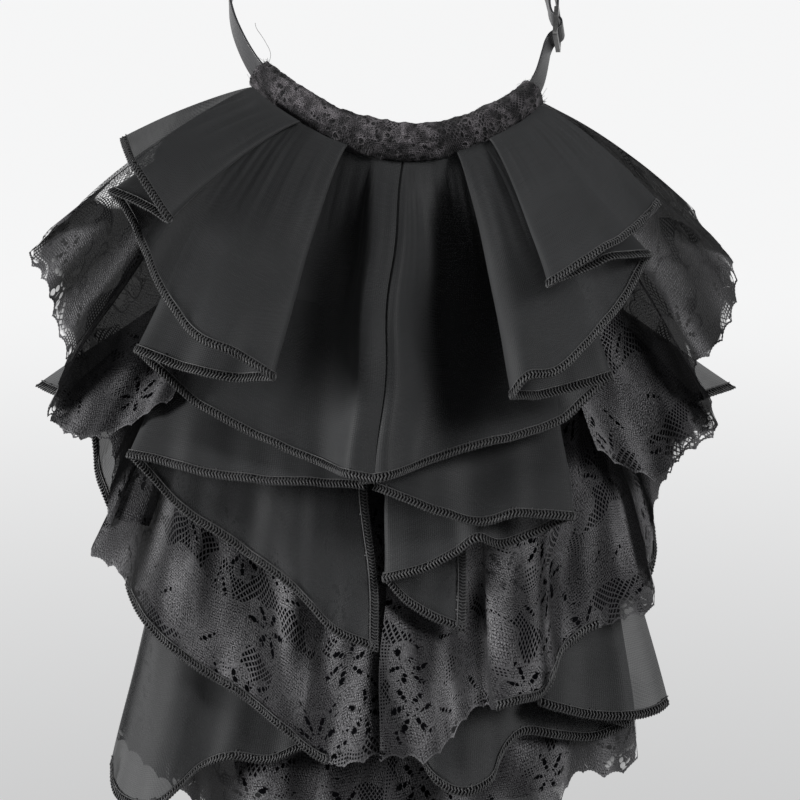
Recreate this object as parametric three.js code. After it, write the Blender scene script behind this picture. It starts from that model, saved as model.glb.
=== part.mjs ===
// A black jabot: a ruffled collar that is worn round the neck and falls over the chest.
// A padded lace neckband carries three tiers. Each tier is a hemmed chiffon ruffle over a lace ruffle,
// in a left and a right half. The upper tier is pleated into the neckband, and the others are sewn
// to a plain backing cloth that hangs from it. An elastic strap with a slider closes the loop.
//
// Millimetres, +Z up, +X to the viewer's right, and the wearer faces -Y.
// The origin is the middle of the neck opening.
import * as THREE from "three";

const radians = THREE.MathUtils.degToRad;
const { lerp, clamp } = THREE.MathUtils;

// Driving dimensions.
const NECK_HALF_WIDTH = 67;
const NECK_HALF_DEPTH = 60;
const THROAT_HEIGHT = -46; // the neckband's middle, below the origin
const WORN_TILT = 0.075; // how much lower the neckband sits towards +X, as a slope
const WORN_LEAN = -0.085; // how far the loop leans sideways as it rises, as a slope
const CHEST_LEAN = radians(14); // the chest's slope away from the vertical
const CHEST_RADIUS = 260; // how the chest rounds back to each side
const BAND_HEIGHT = 15.4;
const BAND_DEPTH = 11;
const BAND_LEFT_END = -55; // degrees round the neck
const BAND_RIGHT_END = 56;
const CLOTH = 1; // wall of every cloth piece
const PLY_PITCH = 1.7; // from one ply of a pleat to the next where it is sewn
const STRAP_WIDTH = 9.5;
const STRAP_THICKNESS = 1;
const SEAT_GAP = 0.55; // between pieces that touch

// Rows of numbers as objects with named columns.
function table(columns, rows) {
  const names = columns.split(" ");
  return rows.map((row) => Object.fromEntries(names.map((name, i) => [name, row[i]])));
}

// A smooth curve through a table's points, read at a share of the table's length.
function through(points) {
  return new THREE.CatmullRomCurve3(points, false, "centripetal");
}

// The neckline: height against the angle round the neck, from the throat to the nape.
const NECKLINE = table("turn rise", [
  [0, THROAT_HEIGHT],
  [20, -43],
  [35, -36.5],
  [56, -25],
  [72, -9.5],
  [90, 7],
  [120, 24],
  [150, 33],
  [180, 36],
]);
const necklineCurve = through([
  new THREE.Vector3(-NECKLINE[1].turn, NECKLINE[1].rise, 0),
  ...NECKLINE.map((row) => new THREE.Vector3(row.turn, row.rise, 0)),
  new THREE.Vector3(360 - NECKLINE.at(-2).turn, NECKLINE.at(-2).rise, 0),
]);

// Height of the neckline at an angle, found by halving, as the angle grows along the curve.
function necklineRise(turn) {
  const angle = Math.abs(turn);
  let low = 0;
  let high = 1;
  for (let step = 0; step < 24; step += 1) {
    const middle = (low + high) / 2;
    if (necklineCurve.getPoint(middle).x < angle) low = middle;
    else high = middle;
  }
  return necklineCurve.getPoint(low).y;
}

// A point on the neckline. Negative angles are on the -X side.
function neckPoint(turn) {
  const angle = radians(turn);
  const x = NECK_HALF_WIDTH * Math.sin(angle);
  const tilt = WORN_TILT * x * clamp(Math.cos(angle) * 2, 0, 1);
  const rise = necklineRise(turn) - tilt;
  const lean = WORN_LEAN * (rise - THROAT_HEIGHT);
  return new THREE.Vector3(x + lean, -NECK_HALF_DEPTH * Math.cos(angle), rise);
}

// The directions at a point of the neckline: along it, away from the neck, and up across its width.
function neckFrame(turn) {
  const along = neckPoint(turn + 0.5).sub(neckPoint(turn - 0.5)).normalize();
  const angle = radians(turn);
  const away = new THREE.Vector3(
    NECK_HALF_DEPTH * Math.sin(angle),
    -NECK_HALF_WIDTH * Math.cos(angle),
    0,
  );
  away.addScaledVector(along, -away.dot(along)).normalize();
  const up = new THREE.Vector3().crossVectors(away, along);
  return { along, away, up };
}

// The chest: across it, down it from the throat, and out from it towards the viewer.
const DOWN_CHEST = new THREE.Vector3(0, -Math.sin(CHEST_LEAN), -Math.cos(CHEST_LEAN));
const OUT_OF_CHEST = new THREE.Vector3(0, -Math.cos(CHEST_LEAN), Math.sin(CHEST_LEAN));
const THROAT = new THREE.Vector3(0, -NECK_HALF_DEPTH, THROAT_HEIGHT);

const rounding = (across) => (across * across) / (2 * CHEST_RADIUS);

function onChest(across, drop, out) {
  return THROAT.clone()
    .add(new THREE.Vector3(across, 0, 0))
    .addScaledVector(DOWN_CHEST, drop)
    .addScaledVector(OUT_OF_CHEST, out - rounding(across));
}

// Each sheet of cloth is a grid of points on its middle surface, hung between a seam and a hem.
// seamAt gives the seam's point for a row of the sheet's table. The cloth leaves the seam and
// flares: puff below 1 stands off at once, above 1 it falls close and flares near the hem. A spread
// below 1 fans out sideways at once. A bulge swells the whole cloth half way down, and a row's belly
// swells it there, or sinks it where it is below 0.
const SPANS_PER_ROW = 2;
const STEPS_DOWN = 5;

// A row whose ply ends in a half is a turn: the cloth goes round it from one ply to the next.
const TURN_ROOM = 2.2; // half the room inside a turn at the hem

function openTurns(rows) {
  return rows.flatMap((row, i) => {
    if (row.ply % 1 === 0 || row.ply === undefined) return [row];
    const forwards = Math.sign(rows[i + 1].ply - rows[i - 1].ply);
    return [-forwards, forwards].map((side) => ({
      ...row,
      ply: row.ply + side / 2,
      out: row.out + side * TURN_ROOM,
    }));
  });
}

function hang(table, { seamAt, puff, bulge, spread = 1 }) {
  const rows = openTurns(table);
  const seam = rows.map(seamAt);
  const hem = through(rows.map((row) => onChest(row.across, row.drop, row.out)));
  const spans = (rows.length - 1) * SPANS_PER_ROW;
  const columns = [];
  for (let i = 0; i <= spans; i += 1) {
    const before = Math.min(Math.floor(i / SPANS_PER_ROW), rows.length - 2);
    const past = i / SPANS_PER_ROW - before;
    const top = seam[before].clone().lerp(seam[before + 1], past);
    const belly = lerp(rows[before].belly ?? 0, rows[before + 1].belly ?? 0, past);
    const fall = hem.getPoint(i / spans).sub(top);
    const flare = fall.dot(OUT_OF_CHEST);
    fall.addScaledVector(OUT_OF_CHEST, -flare);
    columns.push(
      Array.from({ length: STEPS_DOWN + 1 }, (_, j) => {
        const down = j / STEPS_DOWN;
        const stand = flare * down ** puff + (bulge + belly) * Math.sin(Math.PI * down);
        const point = top.clone().addScaledVector(fall, down).addScaledVector(OUT_OF_CHEST, stand);
        point.x += fall.x * (down ** spread - down);
        return point;
      }),
    );
  }
  return columns;
}

// A closed wall round a grid of points: a front and a back skin and a rim.
function clothGeometry(columns, wall = CLOTH) {
  const wide = columns.length;
  const tall = columns[0].length;
  const at = (i, j) => columns[clamp(i, 0, wide - 1)][clamp(j, 0, tall - 1)];
  const skin = (side) =>
    columns.flatMap((column, i) =>
      column.map((point, j) => {
        const across = at(i + 1, j).clone().sub(at(i - 1, j));
        const down = at(i, j + 1).clone().sub(at(i, j - 1));
        const normal = across.cross(down).normalize();
        return point.clone().addScaledVector(normal, (side * wall) / 2);
      }),
    );
  const points = [...skin(1), ...skin(-1)];
  const front = (i, j) => i * tall + j;
  const back = (i, j) => front(i, j) + wide * tall;
  const faces = [];
  const quad = (a, b, c, d) => faces.push(a, b, c, a, c, d);
  for (let i = 0; i + 1 < wide; i += 1) {
    for (let j = 0; j + 1 < tall; j += 1) {
      quad(front(i, j), front(i + 1, j), front(i + 1, j + 1), front(i, j + 1));
      quad(back(i, j), back(i, j + 1), back(i + 1, j + 1), back(i + 1, j));
    }
    quad(front(i, 0), back(i, 0), back(i + 1, 0), front(i + 1, 0));
    quad(front(i, tall - 1), front(i + 1, tall - 1), back(i + 1, tall - 1), back(i, tall - 1));
  }
  for (let j = 0; j + 1 < tall; j += 1) {
    quad(front(0, j), front(0, j + 1), back(0, j + 1), back(0, j));
    quad(front(wide - 1, j), back(wide - 1, j), back(wide - 1, j + 1), front(wide - 1, j + 1));
  }
  return solidGeometry(points, faces);
}

function solidGeometry(points, faces) {
  const geometry = new THREE.BufferGeometry().setFromPoints(points);
  geometry.setIndex(faces);
  geometry.computeVertexNormals();
  return geometry;
}

// A closed bar through sections with the same number of corners, each a ring of points.
function sweep(sections) {
  const corners = sections[0].length;
  const faces = [];
  for (let s = 0; s + 1 < sections.length; s += 1) {
    for (let c = 0; c < corners; c += 1) {
      const here = s * corners + c;
      const next = s * corners + ((c + 1) % corners);
      faces.push(here, next + corners, next, here, here + corners, next + corners);
    }
  }
  const last = (sections.length - 1) * corners;
  for (let c = 1; c + 1 < corners; c += 1) {
    faces.push(0, c, c + 1, last, last + c + 1, last + c);
  }
  return solidGeometry(sections.flat(), faces);
}

// Finishes.
const chiffon = new THREE.MeshStandardMaterial({ color: 0x242526, roughness: 0.8 });
const lace = new THREE.MeshStandardMaterial({ color: 0x2c2b2f, roughness: 0.9 });
const satin = new THREE.MeshStandardMaterial({ color: 0x1e1e20, roughness: 0.45 });
const darkMetal = new THREE.MeshStandardMaterial({
  color: 0x3b3b3e,
  roughness: 0.35,
  metalness: 0.9,
});

const jabot = new THREE.Group();

function addPiece(name, geometry, material) {
  const mesh = new THREE.Mesh(geometry, material);
  mesh.name = name;
  jabot.add(mesh);
}

// The neckband: a padded roll with an oval section, a little thinner at its cut ends.
const BAND_STEPS = 22;
const BAND_SIDES = 14;
const BAND_TAPER = 0.12; // how much thinner the ends are, as a share
const BAND_SWELL = 0.03; // how much the roll varies along its length, as a share
const BAND_SWELLS = 19; // radians of that variation

function bandSection(turn) {
  const share = (turn - BAND_LEFT_END) / (BAND_RIGHT_END - BAND_LEFT_END);
  const taper = BAND_TAPER * Math.abs(2 * share - 1) ** 4;
  const size = 1 - taper + BAND_SWELL * Math.sin(share * BAND_SWELLS);
  const { away, up } = neckFrame(turn);
  return Array.from({ length: BAND_SIDES }, (_, c) => {
    const angle = (2 * Math.PI * c) / BAND_SIDES;
    return neckPoint(turn)
      .addScaledVector(away, (size * BAND_DEPTH * Math.cos(angle)) / 2)
      .addScaledVector(up, (size * BAND_HEIGHT * Math.sin(angle)) / 2);
  });
}

addPiece(
  "neckband",
  sweep(
    Array.from({ length: BAND_STEPS + 1 }, (_, s) =>
      bandSection(lerp(BAND_LEFT_END, BAND_RIGHT_END, s / BAND_STEPS)),
    ),
  ),
  lace,
);

// Pleats sewn under the neckband: the seat is an angle round the neck, and plies go forwards.
const UNDER_BAND = BAND_HEIGHT / 2 + 2;
const REAR_PLY = -6; // from the neckband's middle, away from the neck
const OUTWARDS = 9; // how far the stack moves outwards round the neck, at its side

function underBand(turn, ply, higher = 0) {
  const { away, up } = neckFrame(turn);
  return neckPoint(turn)
    .addScaledVector(up, higher - UNDER_BAND)
    .addScaledVector(away, REAR_PLY + OUTWARDS * Math.abs(Math.sin(radians(turn))))
    .addScaledVector(OUT_OF_CHEST, ply * PLY_PITCH);
}

// The backing: a plain cloth from the neckband down behind the ruffles.
const BACKING_PLY = -1;
const REAR_RISE = 1; // the rear plies reach higher up to the neckband
const BACKING_ROWS = table("seat across drop out", [
  [-44, -64, 258, 0],
  [-36, -52, 262, 0],
  [-18, -26, 264, 0],
  [0, 0, 265, 0],
  [18, 26, 264, 0],
  [36, 52, 262, 0],
  [44, 64, 258, 0],
]);
const BACKING_HANG = {
  seamAt: (row) => underBand(row.seat, BACKING_PLY, REAR_RISE),
  puff: 0.5,
  bulge: 0,
};
const BACKING_WIDEN = 0.56; // how much wider the cloth is part way down, as a share

function backingColumns() {
  return hang(BACKING_ROWS, BACKING_HANG).map((column) =>
    column.map((point, j) => {
      const down = j / STEPS_DOWN;
      const widen = 1 + BACKING_WIDEN * Math.sin(Math.PI * down ** 0.7);
      const wider = new THREE.Vector3(point.x * widen, point.y, point.z);
      return wider.addScaledVector(OUT_OF_CHEST, rounding(point.x) - rounding(wider.x));
    }),
  );
}
const backing = backingColumns();
addPiece("backing_cloth", clothGeometry(backing), chiffon);

// A seam on the backing: the seat is millimetres from its middle, at a share of its height.
function onBacking(seat, level, ply) {
  const row = level * STEPS_DOWN;
  const upper = Math.floor(row);
  const middle = (backing.length - 1) / 2;
  const edge = lerp(backing.at(-1)[upper].x, backing.at(-1)[upper + 1].x, row - upper);
  const column = clamp(middle * (1 + seat / edge), 0, backing.length - 1.001);
  const left = Math.floor(column);
  const along = (c) => backing[c][upper].clone().lerp(backing[c][upper + 1], row - upper);
  return along(left)
    .lerp(along(left + 1), column - left)
    .addScaledVector(OUT_OF_CHEST, CLOTH + SEAT_GAP + ply * PLY_PITCH);
}

// The ruffles. Each row of a table is one fold, turn or sway of the hem, in order along the cloth:
// seat   where the row starts, in degrees round the neck or millimetres from the backing's middle
// ply    its place in the stack of plies at the seam, growing forwards
// across, drop and out   the hem's place on the chest, in millimetres
// belly  how far the cloth stands out half way down, in millimetres
const UPPER_CHIFFON_LEFT = table("seat ply across drop out belly", [
  [1.5, 3, -9, 137, 53, 3],
  [-5, 3, -19, 135, 52, 3],
  [-9, 3, -29, 131, 39, -9],
  [-15, 3, -41, 126, 36, -15],
  [-23, 3, -58, 118.5, 36, -16],
  [-32, 3, -78, 107, 36, -11],
  [-38, 3, -94, 94, 42, -5],
  [-42, 3.5, -103, 86, 46, 0],
  [-36, 4, -87, 92, 50, 0],
  [-25, 4, -69, 97, 53, 0],
  [-17, 4.5, -48, 98, 60, 0],
  [-24, 5, -60, 90, 65, 3],
  [-32, 5, -76, 83, 66, 4],
  [-38, 5, -92, 64, 64, 2],
  [-42, 5, -103, 38, 60, 0],
  [-46, 5.5, -112, 25, 58, 0],
  [-40, 6, -101, 30, 61, 0],
  [-33, 6.5, -89, 37, 66, 0],
  [-38, 7, -95, 27, 70, 0],
  [-44, 7, -101, 19, 70, 0],
  [-50, 7, -105, 11, 66, 0],
  [-54, 7, -108, 4, 60, 0],
]);

const UPPER_CHIFFON_RIGHT = table("seat ply across drop out belly", [
  [-2, 1, -15, 137, 49, -1],
  [5.5, 3, 3, 134.5, 54, 3],
  [7, 3, 10, 130.5, 40, -6],
  [12, 3, 21, 126, 38, -14],
  [20, 3, 41, 121, 38, -14],
  [30, 3, 64, 113, 37, -11],
  [36, 3.5, 82, 97, 44, 0],
  [30, 4, 65, 102, 48, 0],
  [24, 4, 51, 105, 52, 0],
  [19.5, 4.5, 43, 105, 60, 0],
  [23, 5, 49, 98, 65, 2],
  [27, 5, 60, 96, 66, 4],
  [31, 5, 72, 85, 64, 2],
  [36, 5, 85, 68, 60, 0],
  [41, 5.5, 96, 50, 56, 0],
  [36, 6, 80, 52, 60, 0],
  [31, 6.5, 56, 63, 67, 0],
  [37, 7, 68, 55, 71, 0],
  [45, 7, 79, 48, 70, 0],
  [51, 7, 92, 39, 64, 0],
  [55, 7, 101, 29, 55, 0],
]);

const UPPER_LACE_LEFT = table("seat ply across drop out belly", [
  [-55, 2, -126, 28, 48, 0],
  [-54, 2, -149, 47, 52, 0],
  [-53, 2, -142, 56, 55, 0],
  [-51, 2, -136, 67, 57, 0],
  [-49, 2, -134, 77, 55, 0],
  [-45, 1.5, -132, 89, 49, 0],
  [-48, 1, -137, 100, 43, 0],
  [-52, 0.5, -141, 111, 40, 0],
  [-45, 0, -129, 120, 38, 0],
  [-40, 0, -115, 118, 34, -2],
  [-36, 0, -103, 112, 30, -4],
  [-31, 0, -91, 104, 27, -5],
]);

const UPPER_LACE_RIGHT = table("seat ply across drop out belly", [
  [57, 2, 114, 31, 46, 0],
  [55, 2, 131, 50, 50, 0],
  [53, 2, 133, 65, 55, 0],
  [51, 2, 128, 79, 56, 0],
  [47, 1.5, 118, 90, 50, 0],
  [50, 1, 121, 104, 44, 0],
  [53, 0.5, 125, 116, 41, 0],
  [46, 0, 113, 125, 39, 0],
  [39, 0, 102, 137, 32, -3],
  [31, 0, 78, 124, 28, -5],
]);

const MIDDLE_CHIFFON_LEFT = table("seat ply across drop out", [
  [-4, 3, -13, 139, 40],
  [-16, 3, -31, 138, 36],
  [-33, 3, -54, 137, 34],
  [-50, 3, -78, 134, 34],
  [-62, 3, -95, 129, 34],
  [-69, 2.5, -107, 127, 31],
  [-63, 2, -101, 133, 28],
  [-54, 2, -87, 148, 26],
  [-40, 2, -63, 163, 26],
  [-29, 2, -42, 178, 29],
  [-20, 2, -25, 195, 32],
  [-13, 2, -8, 202, 33],
]);

const MIDDLE_CHIFFON_RIGHT = table("seat ply across drop out", [
  [-1, 4, -10, 139, 38],
  [7, 4, 2, 144, 42],
  [17, 4, 15, 149, 42],
  [27, 4, 31, 153, 40],
  [37, 4, 46, 150, 42],
  [48, 3.5, 66, 151, 40],
  [39, 3, 50, 158, 37],
  [31, 3, 38, 162, 34],
  [25, 3, 30, 159, 37],
  [18, 3, 21, 165, 33],
  [8, 3, 6, 172, 31],
  [0, 2.5, -7, 175, 28],
  [6, 2, 1, 183, 25],
  [13, 2, 12, 190, 24],
  [21, 2, 25, 195, 25],
]);

const MIDDLE_LACE_LEFT = table("seat ply across drop out", [
  [-76, 1, -138, 104, 28],
  [-74, 1, -142, 112, 30],
  [-71, 1, -130, 120, 29],
  [-68, 1, -118, 121, 26],
  [-65, 1, -115, 136, 25],
  [-63, 1, -118, 153, 25],
  [-61, 1, -124, 166, 27],
  [-59, 1, -111, 174, 25],
  [-57, 1, -107, 184, 24],
  [-52, 1, -100, 194, 25],
  [-43, 1, -83, 209, 23],
  [-33, 1, -65, 220, 21],
  [-24, 1, -48, 232, 21],
  [-16, 1, -31, 245, 25],
  [-10, 1, -19, 247, 28],
  [-5, 1, -10, 244, 26],
  [-2, 1, -5, 246, 21],
]);

const MIDDLE_LACE_RIGHT = table("seat ply across drop out", [
  [-1, 1, -9, 245, 31],
  [4, 1, 2, 244, 29],
  [8, 1, 9, 246, 29],
  [13, 1, 17, 240, 27],
  [18, 1, 27, 228, 25],
  [23, 1, 34, 224, 26],
  [27, 1, 37, 225, 32],
  [33, 1, 46, 222, 35],
  [39, 1, 56, 219, 32],
  [45, 1, 62, 205, 28],
  [51, 1, 74, 195, 30],
  [57, 1, 88, 191, 33],
  [62, 1, 100, 188, 32],
  [65, 1, 100, 167, 28],
  [68, 1, 102, 144, 26],
  [71, 1, 111, 129, 28],
  [74, 1, 126, 117, 30],
  [76, 1, 121, 106, 27],
]);

const SIDE_CHIFFON_LEFT = table("seat ply across drop out", [
  [-77, 0, -148, 97, 21],
  [-74, 0, -138, 102, 22],
  [-71, 0, -128, 109, 18],
  [-68, 0, -125, 122, 14],
  [-65, 0, -124, 132, 14],
  [-61, 0, -120, 141, 16],
  [-57, 0, -115, 150, 15],
  [-50, 0, -101, 154, 12],
]);

const SIDE_CHIFFON_RIGHT = table("seat ply across drop out", [
  [77, 0, 137, 98, 17],
  [74, 0, 122, 103, 18],
  [71, 0, 110, 110, 16],
  [68, 0, 102, 124, 13],
  [65, 0, 100, 142, 14],
  [61, 0, 101, 154, 20],
  [57, 0, 102, 165, 21],
  [52, 0, 97, 179, 22],
  [46, 0, 85, 183, 20],
]);

const LOWER_CHIFFON_LEFT = table("seat ply across drop out", [
  [-76, 1, -116, 249, 20],
  [-70, 1, -115, 260, 21],
  [-63, 1, -107, 265, 24],
  [-56, 1, -95, 264, 27],
  [-50, 1, -86, 257, 24],
  [-44, 1, -78, 250, 20],
  [-36, 1, -66, 246, 17],
  [-28, 1, -51, 247, 16],
  [-19, 1, -36, 241, 16],
  [-10, 1, -20, 242, 16],
  [-2, 1, -5, 244, 14],
]);

const LOWER_CHIFFON_RIGHT = table("seat ply across drop out", [
  [1, 1, -2, 244, 13],
  [6, 1, 6, 245, 17],
  [12, 1, 14, 254, 24],
  [18, 1, 25, 258, 27],
  [24, 1, 35, 254, 24],
  [30, 1, 41, 242, 18],
  [37, 1, 49, 236, 14],
  [46, 1, 63, 238, 12],
  [55, 1, 78, 239, 11],
  [64, 1.5, 91, 234, 14],
  [56, 2, 71, 228, 17],
  [47, 2.5, 55, 224, 21],
  [56, 3, 73, 229, 24],
  [64, 3, 91, 230, 26],
  [70, 3, 102, 228, 24],
  [76, 3, 107, 225, 20],
]);

const LOWER_LACE_LEFT = table("seat ply across drop out", [
  [-77, 0, -116, 241, 8],
  [-71, 0, -111, 244, 10],
  [-65, 0, -101, 252, 8],
  [-57, 0, -84, 264, 8],
  [-50, 0, -74, 273, 11],
  [-41, 0, -59, 277, 13],
  [-31, 0, -43, 275, 9],
  [-20, 0, -28, 277, 12],
  [-10, 0, -14, 274, 8],
  [-2, 0, -4, 276, 7],
]);

const LOWER_LACE_RIGHT = table("seat ply across drop out", [
  [0, 0, -8, 276, 13],
  [9, 0, 12, 274, 11],
  [19, 0, 26, 277, 7],
  [29, 0, 41, 275, 10],
  [39, 0, 55, 271, 11],
  [47, 0, 64, 265, 8],
  [55, 0, 73, 253, 6],
  [63, 0, 82, 255, 8],
  [71, 0, 94, 251, 9],
  [76, 0, 96, 236, 6],
]);

// How each kind of ruffle is sewn on and hangs.
const MIDDLE_SEAM = 0.24; // shares of the backing's height
const LOWER_SEAM = 0.46;
const sewnAt = (level) => (row) => onBacking(row.seat, level, row.ply);
const HANGING = {
  upper_chiffon: {
    seamAt: (row) => underBand(row.seat, row.ply),
    puff: 1.05,
    bulge: 1.5,
    spread: 0.75,
  },
  upper_lace: {
    seamAt: (row) => underBand(row.seat, row.ply, REAR_RISE),
    puff: 0.9,
    bulge: 0,
    spread: 0.85,
  },
  middle_chiffon: { seamAt: sewnAt(MIDDLE_SEAM), puff: 1.3, bulge: 0 },
  middle_lace: { seamAt: sewnAt(MIDDLE_SEAM), puff: 1.2, bulge: 0 },
  side_chiffon: { seamAt: sewnAt(MIDDLE_SEAM), puff: 1.15, bulge: 0 },
  lower_chiffon: { seamAt: sewnAt(LOWER_SEAM), puff: 1.3, bulge: 0 },
  lower_lace: { seamAt: sewnAt(LOWER_SEAM), puff: 1.3, bulge: 0 },
};
const RUFFLES = {
  upper_chiffon: [UPPER_CHIFFON_LEFT, UPPER_CHIFFON_RIGHT],
  upper_lace: [UPPER_LACE_LEFT, UPPER_LACE_RIGHT],
  middle_chiffon: [MIDDLE_CHIFFON_LEFT, MIDDLE_CHIFFON_RIGHT],
  middle_lace: [MIDDLE_LACE_LEFT, MIDDLE_LACE_RIGHT],
  side_chiffon: [SIDE_CHIFFON_LEFT, SIDE_CHIFFON_RIGHT],
  lower_chiffon: [LOWER_CHIFFON_LEFT, LOWER_CHIFFON_RIGHT],
  lower_lace: [LOWER_LACE_LEFT, LOWER_LACE_RIGHT],
};
for (const [kind, [left, right]] of Object.entries(RUFFLES)) {
  const material = kind.endsWith("lace") ? lace : chiffon;
  addPiece(`${kind}_left`, clothGeometry(hang(left, HANGING[kind])), material);
  addPiece(`${kind}_right`, clothGeometry(hang(right, HANGING[kind])), material);
}

// The strap runs flat round the neck. A route is a table of angles round the neck and lifts off it.
function strapGeometry(route) {
  const path = route.map(({ turn, lift }) =>
    neckPoint(turn).addScaledVector(neckFrame(turn).away, lift),
  );
  return sweep(
    path.map((point, s) => {
      const ahead = path[Math.min(s + 1, path.length - 1)];
      const behind = path[Math.max(s - 1, 0)];
      const across = neckFrame(route[s].turn).up;
      const face = ahead.clone().sub(behind).cross(across).normalize();
      const corner = (side, skin) =>
        point
          .clone()
          .addScaledVector(across, (side * STRAP_WIDTH) / 2)
          .addScaledVector(face, (skin * STRAP_THICKNESS) / 2);
      return [corner(-1, -1), corner(-1, 1), corner(1, 1), corner(1, -1)];
    }),
  );
}

// Evenly spaced stops of a route between two angles at one lift.
function stretch(from, to, lift, steps) {
  return Array.from({ length: steps + 1 }, (_, s) => ({
    turn: lerp(from, to, s / steps),
    lift,
  }));
}

// The turn back round a clasp's bar, as half a circle.
const BAR_WRAP = 2.1; // radius of the strap's middle round a bar
const DEGREES_PER_MM = 180 / (Math.PI * NECK_HALF_DEPTH);
const WRAP_STEPS = 8;

function turnBack(turn, direction) {
  return Array.from({ length: WRAP_STEPS - 1 }, (_, s) => {
    const angle = (Math.PI * (s + 1)) / WRAP_STEPS;
    return {
      turn: turn + direction * BAR_WRAP * Math.sin(angle) * DEGREES_PER_MM,
      lift: BAR_WRAP * (1 - Math.cos(angle)),
    };
  });
}

// The left strap: from the neckband round to the clasp, where it is folded over a bar and sewn.
const CLASP_BAR = 174; // where each strap turns back, in degrees
const BAND_JOIN = 0.45; // degrees kept between a strap and the neckband's end
const FOLD_BACK = 14; // degrees of the sewn end behind the clasp
const LEFT_STRAP = [
  ...stretch(BAND_LEFT_END - BAND_JOIN, -CLASP_BAR, 0, 22),
  ...turnBack(-CLASP_BAR, -1),
  ...stretch(-CLASP_BAR, -CLASP_BAR + FOLD_BACK, 2 * BAR_WRAP, 3),
];
addPiece("strap_left", strapGeometry(LEFT_STRAP), satin);

// The right strap: from the neckband through the slider, round the clasp's bar, and back down to the
// slider's own bar.
const SLIDER_TURN = 79;
const SLIDER_LENGTH = 15;
const SLIDER_WIDTH = 14;
const SLIDER_THICKNESS = 1.8;
const SLIDER_LIFT = 3.4; // from the strap's middle at the neck to the slider's middle
const SLIDER_BAR = 1.8;
const SLIDER_RIM = 1.8;
const BELOW_SLIDER = 63; // stops of the strap before and after the slider, in degrees
const ABOVE_SLIDER = 94;
const SLIDER_DEGREES_PER_MM = 0.7; // round the neck, where the slider sits
const STRAP_THROUGH_SLIDER = table("ahead lift", [
  [-13, 0],
  [-9.5, 0.1],
  [-7.5, 0.5],
  [-5.1, 1.4],
  [-1.6, 5.2],
  [1.6, 5.2],
  [5.1, 1.4],
  [7.5, 0.5],
  [9.5, 0.1],
  [13, 0],
]);
const besideSlider = ({ ahead, lift }) => ({
  turn: SLIDER_TURN + ahead * SLIDER_DEGREES_PER_MM,
  lift,
});
const RIGHT_STRAP = [
  { turn: BAND_RIGHT_END + BAND_JOIN, lift: 0 },
  { turn: BELOW_SLIDER, lift: 0 },
  ...STRAP_THROUGH_SLIDER.map(besideSlider),
  ...stretch(ABOVE_SLIDER, CLASP_BAR, 0, 15),
  ...turnBack(CLASP_BAR, 1),
  ...stretch(CLASP_BAR, ABOVE_SLIDER, 2 * BAR_WRAP, 15),
  besideSlider({ ahead: SLIDER_LENGTH / 2 + SEAT_GAP, lift: SLIDER_LIFT }),
];
addPiece("strap_right", strapGeometry(RIGHT_STRAP), satin);

// A flat frame with a bar across its middle, seated on the neck like the straps are.
const OUTER_CORNER = 1.6;
const INNER_CORNER = 0.4;

function barFrame(length, width, thickness, rim, bar) {
  const shape = new THREE.Shape();
  const box = (target, x0, y0, x1, y1, r) => {
    target.moveTo(x0 + r, y0);
    target.lineTo(x1 - r, y0);
    target.absarc(x1 - r, y0 + r, r, -Math.PI / 2, 0, false);
    target.lineTo(x1, y1 - r);
    target.absarc(x1 - r, y1 - r, r, 0, Math.PI / 2, false);
    target.lineTo(x0 + r, y1);
    target.absarc(x0 + r, y1 - r, r, Math.PI / 2, Math.PI, false);
    target.lineTo(x0, y0 + r);
    target.absarc(x0 + r, y0 + r, r, Math.PI, 1.5 * Math.PI, false);
    return target;
  };
  box(shape, -length / 2, -width / 2, length / 2, width / 2, OUTER_CORNER);
  for (const side of [-1, 1]) {
    const near = side > 0 ? bar / 2 : -length / 2 + rim;
    const far = side > 0 ? length / 2 - rim : -bar / 2;
    const window = new THREE.Path();
    shape.holes.push(box(window, near, rim - width / 2, far, width / 2 - rim, INNER_CORNER));
  }
  const geometry = new THREE.ExtrudeGeometry(shape, {
    depth: thickness,
    bevelEnabled: false,
    curveSegments: 3,
  });
  return geometry.translate(0, 0, -thickness / 2);
}

function seatOnNeck(geometry, turn, lift) {
  const { along, away, up } = neckFrame(turn);
  const basis = new THREE.Matrix4().makeBasis(along, up.clone().negate(), away.clone().negate());
  basis.setPosition(neckPoint(turn).addScaledVector(away, lift));
  return geometry.applyMatrix4(basis);
}

addPiece(
  "strap_slider",
  seatOnNeck(
    barFrame(SLIDER_LENGTH, SLIDER_WIDTH, SLIDER_THICKNESS, SLIDER_RIM, SLIDER_BAR),
    SLIDER_TURN,
    SLIDER_LIFT,
  ),
  darkMetal,
);

// The clasp at the nape: one plain plate with a window for each strap.
const CLASP_LENGTH = 16.5;
const CLASP_THICKNESS = 1.6;
const CLASP_RIM = 1.7;
const CLASP_MIDDLE = 5; // between the two windows
addPiece(
  "back_clasp",
  seatOnNeck(
    barFrame(CLASP_LENGTH, SLIDER_WIDTH, CLASP_THICKNESS, CLASP_RIM, CLASP_MIDDLE),
    180,
    BAR_WRAP,
  ),
  darkMetal,
);

export default jabot;
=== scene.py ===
import math

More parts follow.
